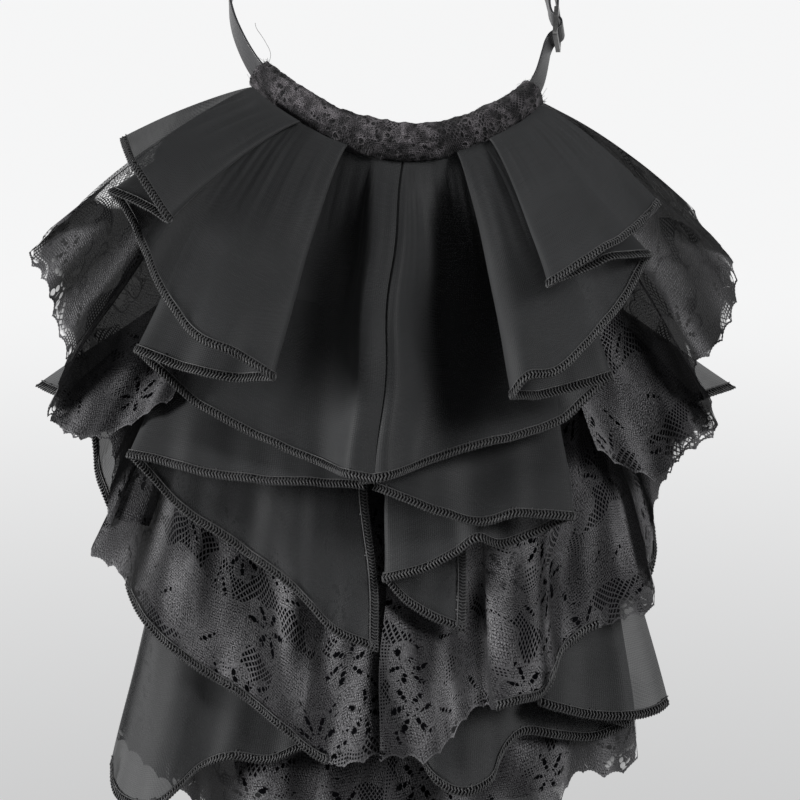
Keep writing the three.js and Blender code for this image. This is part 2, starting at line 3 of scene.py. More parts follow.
import bmesh
import bpy
import numpy as np
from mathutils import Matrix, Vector


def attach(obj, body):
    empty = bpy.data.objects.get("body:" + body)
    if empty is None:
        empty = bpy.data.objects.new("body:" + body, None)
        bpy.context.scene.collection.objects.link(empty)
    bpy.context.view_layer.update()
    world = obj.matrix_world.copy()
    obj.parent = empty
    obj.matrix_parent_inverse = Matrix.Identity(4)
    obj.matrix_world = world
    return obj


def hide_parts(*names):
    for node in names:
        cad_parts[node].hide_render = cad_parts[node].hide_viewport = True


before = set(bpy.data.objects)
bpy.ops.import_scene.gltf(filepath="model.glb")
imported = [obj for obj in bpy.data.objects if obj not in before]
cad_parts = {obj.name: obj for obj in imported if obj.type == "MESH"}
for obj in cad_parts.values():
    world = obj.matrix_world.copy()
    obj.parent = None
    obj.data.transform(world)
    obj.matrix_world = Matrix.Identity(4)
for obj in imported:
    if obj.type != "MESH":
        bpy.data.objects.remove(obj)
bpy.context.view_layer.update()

MM = 0.001

# The collar's sizes, in millimetres, degrees or shares: the neckline, chest and folds as in the
# solids, then the stitches and the straps. The two seams are shares of the backing's fall.
NECK_HALF_WIDTH = 67
NECK_HALF_DEPTH = 60
THROAT_HEIGHT = -46
WORN_TILT = 0.075
WORN_LEAN = -0.085
CHEST_LEAN = math.radians(14)
CHEST_RADIUS = 260
BAND_HEIGHT = 15.4
BAND_DEPTH = 11
BAND_LEFT_END = -55
BAND_RIGHT_END = 56
CLOTH = 1
PLY_PITCH = 1.7
SEAT_GAP = 0.55
UNDER_BAND = BAND_HEIGHT / 2 + 2
REAR_PLY = -6
OUTWARDS = 9
REAR_RISE = 1
TURN_ROOM = 2.2
MIDDLE_SEAM = 0.24
LOWER_SEAM = 0.46
BACKING_WIDEN = 0.56
STITCH_PITCH = 1.3
STITCH_REACH = 3.0
STITCH_RADIUS = 0.33
STITCH_JITTER = 0.12
CORD_RADIUS = 0.26
CORD_STEP = 1.2
CORD_LIFT = 0.55
STRAP_WIDTH = 9.5
STRAP_THICKNESS = 1

DOWN_CHEST = np.array([0, -math.sin(CHEST_LEAN), -math.cos(CHEST_LEAN)])
OUT_OF_CHEST = np.array([0, -math.cos(CHEST_LEAN), math.sin(CHEST_LEAN)])
THROAT = np.array([0, -NECK_HALF_DEPTH, THROAT_HEIGHT])


def unit(v):
    return v / np.maximum(np.linalg.norm(v, axis=-1, keepdims=True), 1e-12)


def spline(points, t):
    """A smooth curve through points, read at places t counted in points."""
    p = np.asarray(points, float)
    p = np.vstack([2 * p[0] - p[1], p, 2 * p[-1] - p[-2]])
    t = np.asarray(t, float)
    i = np.clip(t.astype(int), 0, len(p) - 4)
    s = (t - i)[..., None]
    a, b, c, d = p[i], p[i + 1], p[i + 2], p[i + 3]
    gaps = (b - a, c - b, d - c)
    k0, k1, k2 = (np.maximum(np.linalg.norm(g, axis=-1), 1e-6)[..., None] ** 0.5 for g in gaps)
    m1 = ((b - a) / k0 - (c - a) / (k0 + k1) + (c - b) / k1) * k1
    m2 = ((c - b) / k1 - (d - b) / (k1 + k2) + (d - c) / k2) * k1
    return b + m1 * s + (3 * (c - b) - 2 * m1 - m2) * s**2 + (2 * (b - c) + m1 + m2) * s**3


# Height of the neckline against the angle round the neck.
NECKLINE = np.array([
    (-20, -43),
    (0, THROAT_HEIGHT),
    (20, -43),
    (35, -36.5),
    (56, -25),
    (72, -9.5),
    (90, 7),
    (120, 24),
    (150, 33),
    (180, 36),
    (210, 33),
], float)
NECK_CURVE = spline(NECKLINE, np.linspace(0, len(NECKLINE) - 1, 2001))


def neck_point(turn):
    """The neckline at an angle round the neck, in degrees from the throat."""
    turn = np.asarray(turn, float)
    angle = np.radians(turn)
    x = NECK_HALF_WIDTH * np.sin(angle)
    rise = np.interp(np.abs(turn), NECK_CURVE[:, 0], NECK_CURVE[:, 1])
    rise = rise - WORN_TILT * x * np.clip(2 * np.cos(angle), 0, 1)
    lean = WORN_LEAN * (rise - THROAT_HEIGHT)
    return np.stack([x + lean, -NECK_HALF_DEPTH * np.cos(angle), rise], -1)


def neck_frame(turn):
    """Directions along the neckline, away from the neck, and up across its width."""
    turn = np.asarray(turn, float)
    along = unit(neck_point(turn + 0.5) - neck_point(turn - 0.5))
    angle = np.radians(turn)
    away = [NECK_HALF_DEPTH * np.sin(angle), -NECK_HALF_WIDTH * np.cos(angle), 0 * angle]
    away = np.stack(away, -1)
    away = unit(away - (away * along).sum(-1, keepdims=True) * along)
    return along, away, np.cross(away, along)


def rounding(across):
    """How far the chest falls back to its sides."""
    return across**2 / (2 * CHEST_RADIUS)


def on_chest(across, drop, out):
    """A place across the chest, down it and out from it."""
    point = THROAT + np.multiply.outer(drop, DOWN_CHEST)
    point = point + np.multiply.outer(out - rounding(across), OUT_OF_CHEST)
    point[..., 0] += across
    return point


# Folds of each ruffle, in order along its hem, with the columns
#   seat, ply, across, drop, out, belly
# seat is where a fold starts at the seam, in degrees round the neck or in mm from the backing's
# middle; ply its place in the stack there; across, drop and out its hem on the chest; belly how
# far it stands out half way down. A ply that ends in a half is a turn.
FOLDS = {
    "upper_chiffon_left": [
        (1.5, 3, -9, 137, 53, 3),
        (-5, 3, -19, 135, 52, 3),
        (-9, 3, -29, 131, 39, -9),
        (-15, 3, -41, 126, 36, -15),
        (-23, 3, -58, 118.5, 36, -16),
        (-32, 3, -78, 107, 36, -11),
        (-38, 3, -94, 94, 42, -5),
        (-42, 3.5, -103, 86, 46, 0),
        (-36, 4, -87, 92, 50, 0),
        (-25, 4, -69, 97, 53, 0),
        (-17, 4.5, -48, 98, 60, 0),
        (-24, 5, -60, 90, 65, 3),
        (-32, 5, -76, 83, 66, 4),
        (-38, 5, -92, 64, 64, 2),
        (-42, 5, -103, 38, 60, 0),
        (-46, 5.5, -112, 25, 58, 0),
        (-40, 6, -101, 30, 61, 0),
        (-33, 6.5, -89, 37, 66, 0),
        (-38, 7, -95, 27, 70, 0),
        (-44, 7, -101, 19, 70, 0),
        (-50, 7, -105, 11, 66, 0),
        (-54, 7, -108, 4, 60, 0),
    ],
    "upper_chiffon_right": [
        (-2, 1, -15, 137, 49, -1),
        (3.2, 3, -5, 136, 54, 3),
        (7, 3, 10, 130.5, 40, -6),
        (12, 3, 21, 126, 38, -14),
        (20, 3, 41, 121, 38, -14),
        (30, 3, 64, 113, 37, -11),
        (36, 3.5, 82, 97, 44, 0),
        (30, 4, 65, 102, 48, 0),
        (24, 4, 51, 105, 52, 0),
        (19.5, 4.5, 43, 105, 60, 0),
        (23, 5, 49, 98, 65, 2),
        (27, 5, 60, 96, 66, 4),
        (31, 5, 72, 85, 64, 2),
        (36, 5, 85, 68, 60, 0),
        (41, 5.5, 96, 50, 56, 0),
        (36, 6, 80, 52, 60, 0),
        (31, 6.5, 56, 63, 67, 0),
        (37, 7, 68, 55, 71, 0),
        (45, 7, 79, 48, 70, 0),
        (51, 7, 92, 39, 64, 0),
        (55, 7, 101, 29, 55, 0),
    ],
    "upper_lace_left": [
        (-55, 2, -126, 28, 48, 0),
        (-54, 2, -149, 47, 52, 0),
        (-53, 2, -142, 56, 55, 0),
        (-51, 2, -136, 67, 57, 0),
        (-49, 2, -134, 77, 55, 0),
        (-45, 1.5, -132, 89, 49, 0),
        (-48, 1, -137, 100, 43, 0),
        (-52, 0.5, -141, 111, 40, 0),
        (-45, 0, -129, 120, 38, 0),
        (-40, 0, -115, 118, 34, -2),
        (-36, 0, -103, 112, 30, -4),
        (-31, 0, -91, 104, 27, -5),
    ],
    "upper_lace_right": [
        (57, 2, 114, 31, 46, 0),
        (55, 2, 131, 50, 50, 0),
        (53, 2, 133, 65, 55, 0),
        (51, 2, 128, 79, 56, 0),
        (47, 1.5, 118, 90, 50, 0),
        (50, 1, 121, 104, 44, 0),
        (53, 0.5, 125, 116, 41, 0),
        (46, 0, 113, 125, 39, 0),
        (39, 0, 102, 137, 32, -3),
        (31, 0, 78, 124, 28, -5),
    ],
    "middle_chiffon_left": [
        (-4, 3, -13, 139, 40, 0),
        (-16, 3, -31, 138, 36, 0),
        (-33, 3, -54, 137, 34, 0),
        (-50, 3, -78, 134, 34, 0),
        (-62, 3, -95, 129, 34, 0),
        (-69, 2.5, -107, 127, 31, 0),
        (-63, 2, -101, 133, 28, 0),
        (-54, 2, -87, 148, 26, 0),
        (-40, 2, -63, 163, 26, 0),
        (-29, 2, -42, 178, 29, 0),
        (-20, 2, -25, 195, 32, 0),
        (-13, 2, -8, 202, 33, 0),
    ],
    "middle_chiffon_right": [
        (-1, 4, -10, 139, 38, 0),
        (7, 4, 2, 144, 42, 0),
        (17, 4, 15, 149, 42, 0),
        (27, 4, 31, 153, 40, 0),
        (37, 4, 46, 150, 42, 0),
        (48, 3.5, 66, 151, 40, 0),
        (39, 3, 50, 158, 37, 0),
        (31, 3, 38, 162, 34, 0),
        (25, 3, 30, 159, 37, 0),
        (18, 3, 21, 165, 33, 0),
        (8, 3, 6, 172, 31, 0),
        (0, 2.5, -7, 175, 28, 0),
        (6, 2, 1, 183, 25, 0),
        (13, 2, 12, 190, 24, 0),
        (21, 2, 25, 195, 25, 0),
    ],
    "middle_lace_left": [
        (-76, 1, -138, 104, 28, 0),
        (-74, 1, -142, 112, 30, 0),
        (-71, 1, -130, 120, 29, 0),
        (-68, 1, -118, 121, 26, 0),
        (-65, 1, -115, 136, 25, 0),
        (-63, 1, -118, 153, 25, 0),
        (-61, 1, -124, 166, 27, 0),
        (-59, 1, -111, 174, 25, 0),
        (-57, 1, -107, 184, 24, 0),
        (-52, 1, -100, 194, 25, 0),
        (-43, 1, -83, 209, 23, 0),
        (-33, 1, -65, 220, 21, 0),
        (-24, 1, -48, 232, 21, 0),
        (-16, 1, -31, 245, 25, 0),
        (-10, 1, -19, 247, 28, 0),
        (-5, 1, -10, 244, 26, 0),
        (-2, 1, -5, 246, 21, 0),
    ],
    "middle_lace_right": [
        (-1, 1, -9, 245, 31, 0),
        (4, 1, 2, 244, 29, 0),
        (8, 1, 9, 246, 29, 0),
        (13, 1, 17, 240, 27, 0),
        (18, 1, 27, 228, 25, 0),
        (23, 1, 34, 224, 26, 0),
        (27, 1, 37, 225, 32, 0),
        (33, 1, 46, 222, 35, 0),
        (39, 1, 56, 219, 32, 0),
        (45, 1, 62, 205, 28, 0),
        (51, 1, 74, 195, 30, 0),
        (57, 1, 88, 191, 33, 0),
        (62, 1, 100, 188, 32, 0),
        (65, 1, 100, 167, 28, 0),
        (68, 1, 102, 144, 26, 0),
        (71, 1, 111, 129, 28, 0),
        (74, 1, 126, 117, 30, 0),
        (76, 1, 121, 106, 27, 0),
    ],
    "side_chiffon_left": [
        (-77, 0, -148, 97, 21, 0),
        (-74, 0, -138, 102, 22, 0),
        (-71, 0, -128, 109, 18, 0),
        (-68, 0, -125, 122, 14, 0),
        (-65, 0, -124, 132, 14, 0),
        (-61, 0, -120, 141, 16, 0),
        (-57, 0, -115, 150, 15, 0),
        (-50, 0, -101, 154, 12, 0),
    ],
    "side_chiffon_right": [
        (77, 0, 137, 98, 17, 0),
        (74, 0, 122, 103, 18, 0),
        (71, 0, 110, 110, 16, 0),
        (68, 0, 102, 124, 13, 0),
        (65, 0, 100, 142, 14, 0),
        (61, 0, 101, 154, 20, 0),
        (57, 0, 102, 165, 21, 0),
        (52, 0, 97, 179, 22, 0),
        (46, 0, 85, 183, 20, 0),
    ],
    "lower_chiffon_left": [
        (-76, 1, -116, 249, 20, 0),
        (-70, 1, -115, 260, 21, 0),
        (-63, 1, -107, 265, 24, 0),
        (-56, 1, -95, 264, 27, 0),
        (-50, 1, -86, 257, 24, 0),
        (-44, 1, -78, 250, 20, 0),
        (-36, 1, -66, 246, 17, 0),
        (-28, 1, -51, 247, 16, 0),
        (-19, 1, -36, 241, 16, 0),
        (-10, 1, -20, 242, 16, 0),
        (-2, 1, -5, 244, 14, 0),
    ],
    "lower_chiffon_right": [
        (1, 1, -2, 244, 13, 0),
        (6, 1, 6, 245, 17, 0),
        (12, 1, 14, 254, 24, 0),
        (18, 1, 25, 258, 27, 0),
        (24, 1, 35, 254, 24, 0),
        (30, 1, 41, 242, 18, 0),
        (37, 1, 49, 236, 14, 0),
        (46, 1, 63, 238, 12, 0),
        (55, 1, 78, 239, 11, 0),
        (64, 1.5, 91, 234, 14, 0),
        (56, 2, 71, 228, 17, 0),
        (47, 2.5, 55, 224, 21, 0),
        (56, 3, 73, 229, 24, 0),
        (64, 3, 91, 230, 26, 0),
        (70, 3, 102, 228, 24, 0),
        (76, 3, 107, 225, 20, 0),
    ],
    "lower_lace_left": [
        (-77, 0, -116, 241, 8, 0),
        (-71, 0, -111, 244, 10, 0),
        (-65, 0, -101, 252, 8, 0),
        (-57, 0, -84, 264, 8, 0),
        (-50, 0, -74, 273, 11, 0),
        (-41, 0, -59, 277, 13, 0),
        (-31, 0, -43, 275, 9, 0),
        (-20, 0, -28, 277, 12, 0),
        (-10, 0, -14, 274, 8, 0),
        (-2, 0, -4, 276, 7, 0),
    ],
    "lower_lace_right": [
        (0, 0, -8, 276, 13, 0),
        (9, 0, 12, 274, 11, 0),
        (19, 0, 26, 277, 7, 0),
        (29, 0, 41, 275, 10, 0),
        (39, 0, 55, 271, 11, 0),
        (47, 0, 64, 265, 8, 0),
        (55, 0, 73, 253, 6, 0),
        (63, 0, 82, 255, 8, 0),
        (71, 0, 94, 251, 9, 0),
        (76, 0, 96, 236, 6, 0),
    ],
}
BACKING_FOLDS = [
    (-44, -1, -64, 258, 0, 0),
    (-36, -1, -52, 262, 0, 0),
    (-18, -1, -26, 264, 0, 0),
    (0, -1, 0, 265, 0, 0),
    (18, -1, 26, 264, 0, 0),
    (36, -1, 52, 262, 0, 0),
    (44, -1, 64, 258, 0, 0),
]


def open_turns(rows):
    """The rows of a ruffle, with each turn made two rows that stand a little apart."""
    opened = []
    for i, (seat, ply, across, drop, out, belly) in enumerate(rows):
        sides = [0]
        if ply % 1:
            forwards = np.sign(rows[i + 1][1] - rows[i - 1][1])
            sides = [-forwards, forwards]
        for side in sides:
            opened.append((seat, ply + side / 2, across, drop, out + side * TURN_ROOM, belly))
    return np.array(opened, float)


def under_band(seat, ply, higher=0.0):
    """The seam under the neckband, with each ply further out."""
    _, away, up = neck_frame(seat)
    outwards = REAR_PLY + OUTWARDS * np.abs(np.sin(np.radians(seat)))
    point = neck_point(seat) + up * (higher - UNDER_BAND) + away * outwards[..., None]
    return point + np.multiply.outer(ply * PLY_PITCH, OUT_OF_CHEST)


def hanging(rows, seam_at, puff, bulge, spread=1.0):
    """The surface of a cloth between its seam and its hem, as a function of fold and way down."""
    rows = open_turns(rows)
    seam = seam_at(rows[:, 0], rows[:, 1])
    hem = on_chest(*rows[:, 2:5].T)
    order = np.arange(len(rows))
    bellies = np.c_[4.0 * order, rows[:, 5]]

    def surface(t, down):
        t, down = np.broadcast_arrays(np.asarray(t, float), np.asarray(down, float))
        top = np.stack([np.interp(t, order, seam[:, k]) for k in range(3)], -1)
        fall = spline(hem, t) - top
        flare = fall @ OUT_OF_CHEST
        fall = fall - np.multiply.outer(flare, OUT_OF_CHEST)
        stand = flare * down**puff
        stand = stand + (bulge + spline(bellies, t)[..., 1]) * np.sin(np.pi * down)
        share = np.stack([down**spread, down, down], -1)
        return top + fall * share + np.multiply.outer(stand, OUT_OF_CHEST)

    return surface, len(rows) - 1


plain_backing, BACKING_SPAN = hanging(
    BACKING_FOLDS, lambda seat, ply: under_band(seat, ply, REAR_RISE), 0.5, 0
)


def backing(share, down):
    """The surface of the backing by shares across and down."""
    point = plain_backing(np.clip(share, 0, 1) * BACKING_SPAN, down)
    wide = 1 + BACKING_WIDEN * np.sin(np.pi * np.asarray(down, float) ** 0.7)
    x = point[..., 0] * wide
    shift = np.multiply.outer(rounding(point[..., 0]) - rounding(x), OUT_OF_CHEST)
    return np.concatenate([x[..., None], point[..., 1:]], -1) + shift


def on_backing(level):
    """A seam across the backing, as a function of seat and ply."""
    edge = backing(1.0, level)[0]

    def seam_at(seat, ply):
        share = (1 + seat / edge) / 2
        out = CLOTH + SEAT_GAP + ply * PLY_PITCH
        return backing(share, np.full(len(share), level)) + np.multiply.outer(out, OUT_OF_CHEST)

    return seam_at


# The cloth moves freely below a height, in mm, and fully so a little further down.
FREE_BELOW = -52
FREE_WITHIN = 40


def sway(points):
    """A slow swell of the whole collar, the same for every layer at a place."""
    x, y, z = points[..., 0], points[..., 1], points[..., 2]
    out = 1.2 * np.sin(x / 11.0 + z / 19.0 + 1.3) * np.sin(z / 15.0 - x / 37.0)
    out = out + 0.6 * np.sin(x / 6.1 - z / 9.0 + 0.4) * np.cos(z / 12.5 + x / 21.0)
    side = 0.9 * np.sin(z / 13.0 + y / 17.0) * np.cos(x / 23.0)
    free = np.clip((FREE_BELOW - z) / FREE_WITHIN, 0, 1)
    return points + (free * out)[..., None] * OUT_OF_CHEST + (free * side)[..., None] * [1, 0, 0]


def grid_normals(points):
    across = np.gradient(points, axis=0)
    down = np.gradient(points, axis=1)
    return unit(np.cross(across, down))


# Meshes are made from points in millimetres. A map of the cloth, where there is one, is in metres.
def finish_mesh(name, mesh, material, nodes):
    """A piece of the collar, which stands for the nodes."""
    piece = bpy.data.objects.new(name, mesh)
    bpy.context.scene.collection.objects.link(piece)
    mesh.materials.append(material)
    mesh.shade_smooth()
    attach(piece, "root")
    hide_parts(*nodes)
    return piece


def grid_mesh(name, points, cloth_map=None, merge=False, strip=None):
    """A mesh of a grid of points. With a strip, the grid is cut after each such number of columns."""
    wide, tall = points.shape[0] - 1, points.shape[1] - 1
    bm = bmesh.new()
    bmesh.ops.create_grid(bm, x_segments=wide, y_segments=tall, size=1)
    flat = np.array([v.co[:2] for v in bm.verts])
    i = np.rint((flat[:, 0] + 1) / 2 * wide).astype(int)
    j = np.rint((flat[:, 1] + 1) / 2 * tall).astype(int)
    for v, co in zip(bm.verts, (points[i, j] * MM).tolist()):
        v.co = co
    if cloth_map is not None:
        layer = bm.loops.layers.uv.new("cloth")
        places = (cloth_map[i, j] * MM).tolist()
        for face in bm.faces:
            for loop in face.loops:
                loop[layer].uv = places[loop.vert.index]
    if strip:
        column = i.tolist()
        joins = [f for f in bm.faces if (min(column[v.index] for v in f.verts) + 1) % strip == 0]
        bmesh.ops.delete(bm, geom=joins, context="FACES")
    if merge:
        bmesh.ops.remove_doubles(bm, verts=bm.verts, dist=1e-6)
    mesh = bpy.data.meshes.new(name)
    bm.to_mesh(mesh)
    bm.free()
    return mesh


def loft(name, rings, material, nodes):
    """A closed bar through rings of points, with its ends closed."""
    count = len(rings)
    ends = [rings[0].mean(0) + (rings[0] - rings[0].mean(0)) * s for s in (0.0, 0.5)]
    far = [rings[-1].mean(0) + (rings[-1] - rings[-1].mean(0)) * s for s in (0.5, 0.0)]
    rings = np.concatenate([np.array(ends), rings, np.array(far)])
    rings = np.concatenate([rings, rings[:, :1]], 1)
    steps = np.linalg.norm(np.diff(rings.mean(1), axis=0), axis=1)
    u = np.concatenate([[0], np.cumsum(steps)])[:, None]
    girth = np.linalg.norm(np.diff(rings[count // 2], axis=0), axis=1)
    v = np.concatenate([[0], np.cumsum(girth)])[None, :]
    mesh = grid_mesh(name, rings, np.stack(np.broadcast_arrays(u, v), -1), merge=True)
    return finish_mesh(name, mesh, material, nodes)


def tubes(name, paths, radius, sides, closed):
    """One mesh of many thin round threads: paths is threads x points x 3."""
    steps = paths.shape[1]
    if closed:
        tangent = np.roll(paths, -1, 1) - np.roll(paths, 1, 1)
    else:
        tangent = np.gradient(paths, axis=1)
    tangent = unit(tangent)
    ref = unit(np.cross(tangent, np.roll(tangent, 1, 1) + [0.01, 0.02, 0.03]))
    ref[:, :] = unit(np.cross(tangent, ref[:, steps // 2][:, None]))
    other = np.cross(ref, tangent)
    angle = 2 * np.pi * np.arange(sides + 1) / sides
    ring = ref[:, :, None] * np.cos(angle)[:, None] + other[:, :, None] * np.sin(angle)[:, None]
    middles = paths[:, :, None]
    rings = middles + ring * radius
    if closed:
        rings = np.concatenate([rings, rings[:, :1]], 1)
    else:
        tips = np.broadcast_to(middles, rings.shape)[:, [0, -1]]
        rings = np.concatenate([tips[:, :1], rings, tips[:, 1:]], 1)
    sheet = rings.reshape(-1, sides + 1, 3)
    return grid_mesh(name, sheet, merge=True, strip=rings.shape[1])


# Materials. A Sum is a value in a node tree that can be worked with like a number.
class Sum:
    def __init__(self, tree, socket):
        self.tree = tree
        self.socket = socket

    def do(self, operation, *others):
        return maths(self.tree, operation, self, *others)

    def __add__(self, other):
        return self.do("ADD", other)

    def __sub__(self, other):
        return self.do("SUBTRACT", other)

    def __mul__(self, other):
        return self.do("MULTIPLY", other)

    def __truediv__(self, other):
        return self.do("DIVIDE", other)

    def __rsub__(self, other):
        return maths(self.tree, "SUBTRACT", other, self)

    __radd__ = __add__
    __rmul__ = __mul__

    def zigzag(self, pitch=1.0):
        """From 0 to a half and back, over and over, once a pitch."""
        return (self / pitch).do("PINGPONG", 0.5)

    def away_from(self, other):
        return (self - other).do("ABSOLUTE")

    def over(self, low, high):
        """0 below low, 1 above high, and smooth between."""
        made = self.tree.nodes.new("ShaderNodeMapRange")
        made.interpolation_type = "SMOOTHSTEP"
        plug(self.tree, made, {"Value": self, "From Min": low, "From Max": high})
        return Sum(self.tree, made.outputs["Result"])

    def under(self, low, high):
        return 1 - self.over(low, high)


def plug(tree, made, inputs):
    for key, value in inputs.items():
        if isinstance(value, Sum):
            value = value.socket
        if isinstance(value, bpy.types.NodeSocket):
            tree.links.new(value, made.inputs[key])
        else:
            made.inputs[key].default_value = value
    return made


def maths(tree, operation, *values):
    made = tree.nodes.new("ShaderNodeMath")
    made.operation = operation
    plug(tree, made, dict(enumerate(values)))
    return Sum(tree, made.outputs[0])


def noise(tree, vector, scale, detail=2.0):
    made = tree.nodes.new("ShaderNodeTexNoise")
    plug(tree, made, {"Vector": vector, "Scale": scale, "Detail": detail})
    return Sum(tree, made.outputs[0])


def vector_maths(tree, operation, *values):
    made = tree.nodes.new("ShaderNodeVectorMath")
    made.operation = operation
    plug(tree, made, dict(enumerate(values)))
    return made.outputs["Value" if operation == "LENGTH" else "Vector"]


def split(tree, vector):
    made = tree.nodes.new("ShaderNodeSeparateXYZ")
    tree.links.new(vector, made.inputs[0])
    return [Sum(tree, made.outputs[k]) for k in range(3)]


def join(tree, x, y, z=0.0):
    made = tree.nodes.new("ShaderNodeCombineXYZ")
    plug(tree, made, {"X": x, "Y": y, "Z": z})
    return made.outputs[0]


def group(name, outputs):
    """A node group with a Place in millimetres going in and the named values coming out."""
    tree = bpy.data.node_groups.new(name, "ShaderNodeTree")
    tree.interface.new_socket("Place", in_out="INPUT", socket_type="NodeSocketVector")
    for output in outputs:
        tree.interface.new_socket(output, in_out="OUTPUT", socket_type="NodeSocketFloat")
    place = tree.nodes.new("NodeGroupInput").outputs["Place"]
    out = tree.nodes.new("NodeGroupOutput")
    return tree, place, out


def cells(tree, place, size, randomness):
    """Scattered middles: the way from the nearest one, and two chance numbers of its own."""
    made = tree.nodes.new("ShaderNodeTexVoronoi")
    made.voronoi_dimensions = "2D"
    plug(tree, made, {"Vector": place, "Scale": 1 / size, "Randomness": randomness})
    away = vector_maths(tree, "SUBTRACT", place, made.outputs["Position"])
    colour = tree.nodes.new("ShaderNodeSeparateColor")
    tree.links.new(made.outputs["Color"], colour.inputs[0])
    return away, Sum(tree, colour.outputs[0]), Sum(tree, colour.outputs[1])


# The lace's pattern, in millimetres on the cloth.
LACE_DRIFT = 7
NET_PITCH = 2.0
NET_SLANT = 0.7
LADDER_POSTS = 1.4
LADDER_BARS = 1.25
KNIT_COLUMNS = 0.95
KNIT_ROWS = 1.1
KNIT_SLANT = 3
PATCH_MIDDLE = (34, 53)
PATCH_REACH = (20, 17)
FLOWER_PITCH = 27
PETALS = 5
EYELET_SPOKES = 6
EYELET_PITCH = 2.3
LEAF_PITCH = 15
LEAF_REACH = (7.416, 3.317)
VEIN_PITCH = 2.5
SCALLOP_WIDTH = 8.5
SCALLOP_DEPTH = 1.8
PICOT_PITCH = 1.3
BORDER_GAPS = 3.6


def lace_ground(tree, place, wx, wy):
    """The threads of a diamond net, with stretches of close bars."""
    rising = (wx + wy * NET_SLANT).zigzag(NET_PITCH)
    falling = (wx - wy * NET_SLANT).zigzag(NET_PITCH)
    net = rising.do("MINIMUM", falling).under(0.09, 0.2)
    bars = wy.zigzag(LADDER_BARS).under(0.16, 0.3)
    posts = wx.zigzag(LADDER_POSTS).under(0.14, 0.28)
    ladder = noise(tree, place, 0.045, 0.0).over(0.49, 0.51)
    return net * (1 - ladder) + bars.do("MAXIMUM", posts) * ladder


def knit_waves(x, y):
    return (x / KNIT_COLUMNS + y / KNIT_SLANT).zigzag(), y.zigzag(KNIT_ROWS)


def lace_knit(tree, wx, wy):
    """The threads of the dense cloth of the motifs."""
    grain = noise(tree, join(tree, wx, wy * 1.2), 1.6, 1.0).over(0.36, 0.62)
    column, row = (wave.over(0.05, 0.4) for wave in knit_waves(wx, wy))
    return grain * 0.55 + column * row * 0.4 + 0.05


def lace_flowers(tree, cloth):
    """Flowers of full petals: the petals, their rims, spokes of eyelets, and slits between petals."""
    away, turned, grown = cells(tree, cloth, FLOWER_PITCH, 0.75)
    rx, ry, _ = split(tree, away)
    angle = ry.do("ARCTAN2", rx) + turned * math.tau
    radius = Sum(tree, vector_maths(tree, "LENGTH", away))
    lobes = (angle * (PETALS / 2)).do("COSINE").do("ABSOLUTE").do("POWER", 0.6)
    reach = radius / ((lobes * 0.4 + 0.6) * (grown * 5 + 8.0))
    petals = reach.under(0.96, 1.0)
    rims = reach.away_from(0.97).under(0.03, 0.08)
    spoke = math.tau / EYELET_SPOKES
    sideways = angle.zigzag(spoke) * radius * spoke
    outwards = radius.zigzag(EYELET_PITCH) * EYELET_PITCH
    spread = (sideways * sideways + outwards * outwards).do("SQRT")
    eyelets = (spread - radius * 0.08).under(0.55, 0.7) * grown.over(0.3, 0.34)
    eyelets = eyelets * radius.over(2.2, 2.6) * radius.under(8.6, 9.0)
    slits = lobes.under(0.12, 0.2) * reach.over(0.6, 0.66) * petals
    return petals, rims, eyelets, slits


def lace_leaves(tree, wx, wy):
    """Leaves, each turned its own way: the leaves, their rims, and eyelets along the veins."""
    away, turn, picked = cells(tree, join(tree, wx + 13, wy + 41), LEAF_PITCH, 0.9)
    lx, ly, _ = split(tree, away)
    turn = turn * math.tau
    along = lx * turn.do("COSINE") + ly * turn.do("SINE")
    across = ly * turn.do("COSINE") - lx * turn.do("SINE")
    out_along, out_across = along / LEAF_REACH[0], across / LEAF_REACH[1]
    reach = (out_along * out_along + out_across * out_across).do("SQRT")
    leaves = reach.under(0.94, 1.0)
    rims = reach.away_from(0.95).under(0.05, 0.12)
    step = along.zigzag(VEIN_PITCH) * VEIN_PITCH
    veins = (step * step + across * across).do("SQRT") - along * 0.05
    veins = veins.under(0.75, 0.92) * reach.under(0.62, 0.7) * picked.over(0.35, 0.37)
    return leaves, rims, veins


def lace_edge(x, y):
    """Scallops with small picots: what is inside them, and the cord along them."""
    scallop = x.zigzag(SCALLOP_WIDTH) * 2
    line = (1 - scallop * scallop) * SCALLOP_DEPTH + x.zigzag(PICOT_PITCH) * 0.5
    return (y - line).over(-0.12, 0.12), (y - line).under(0.7, 1.0)


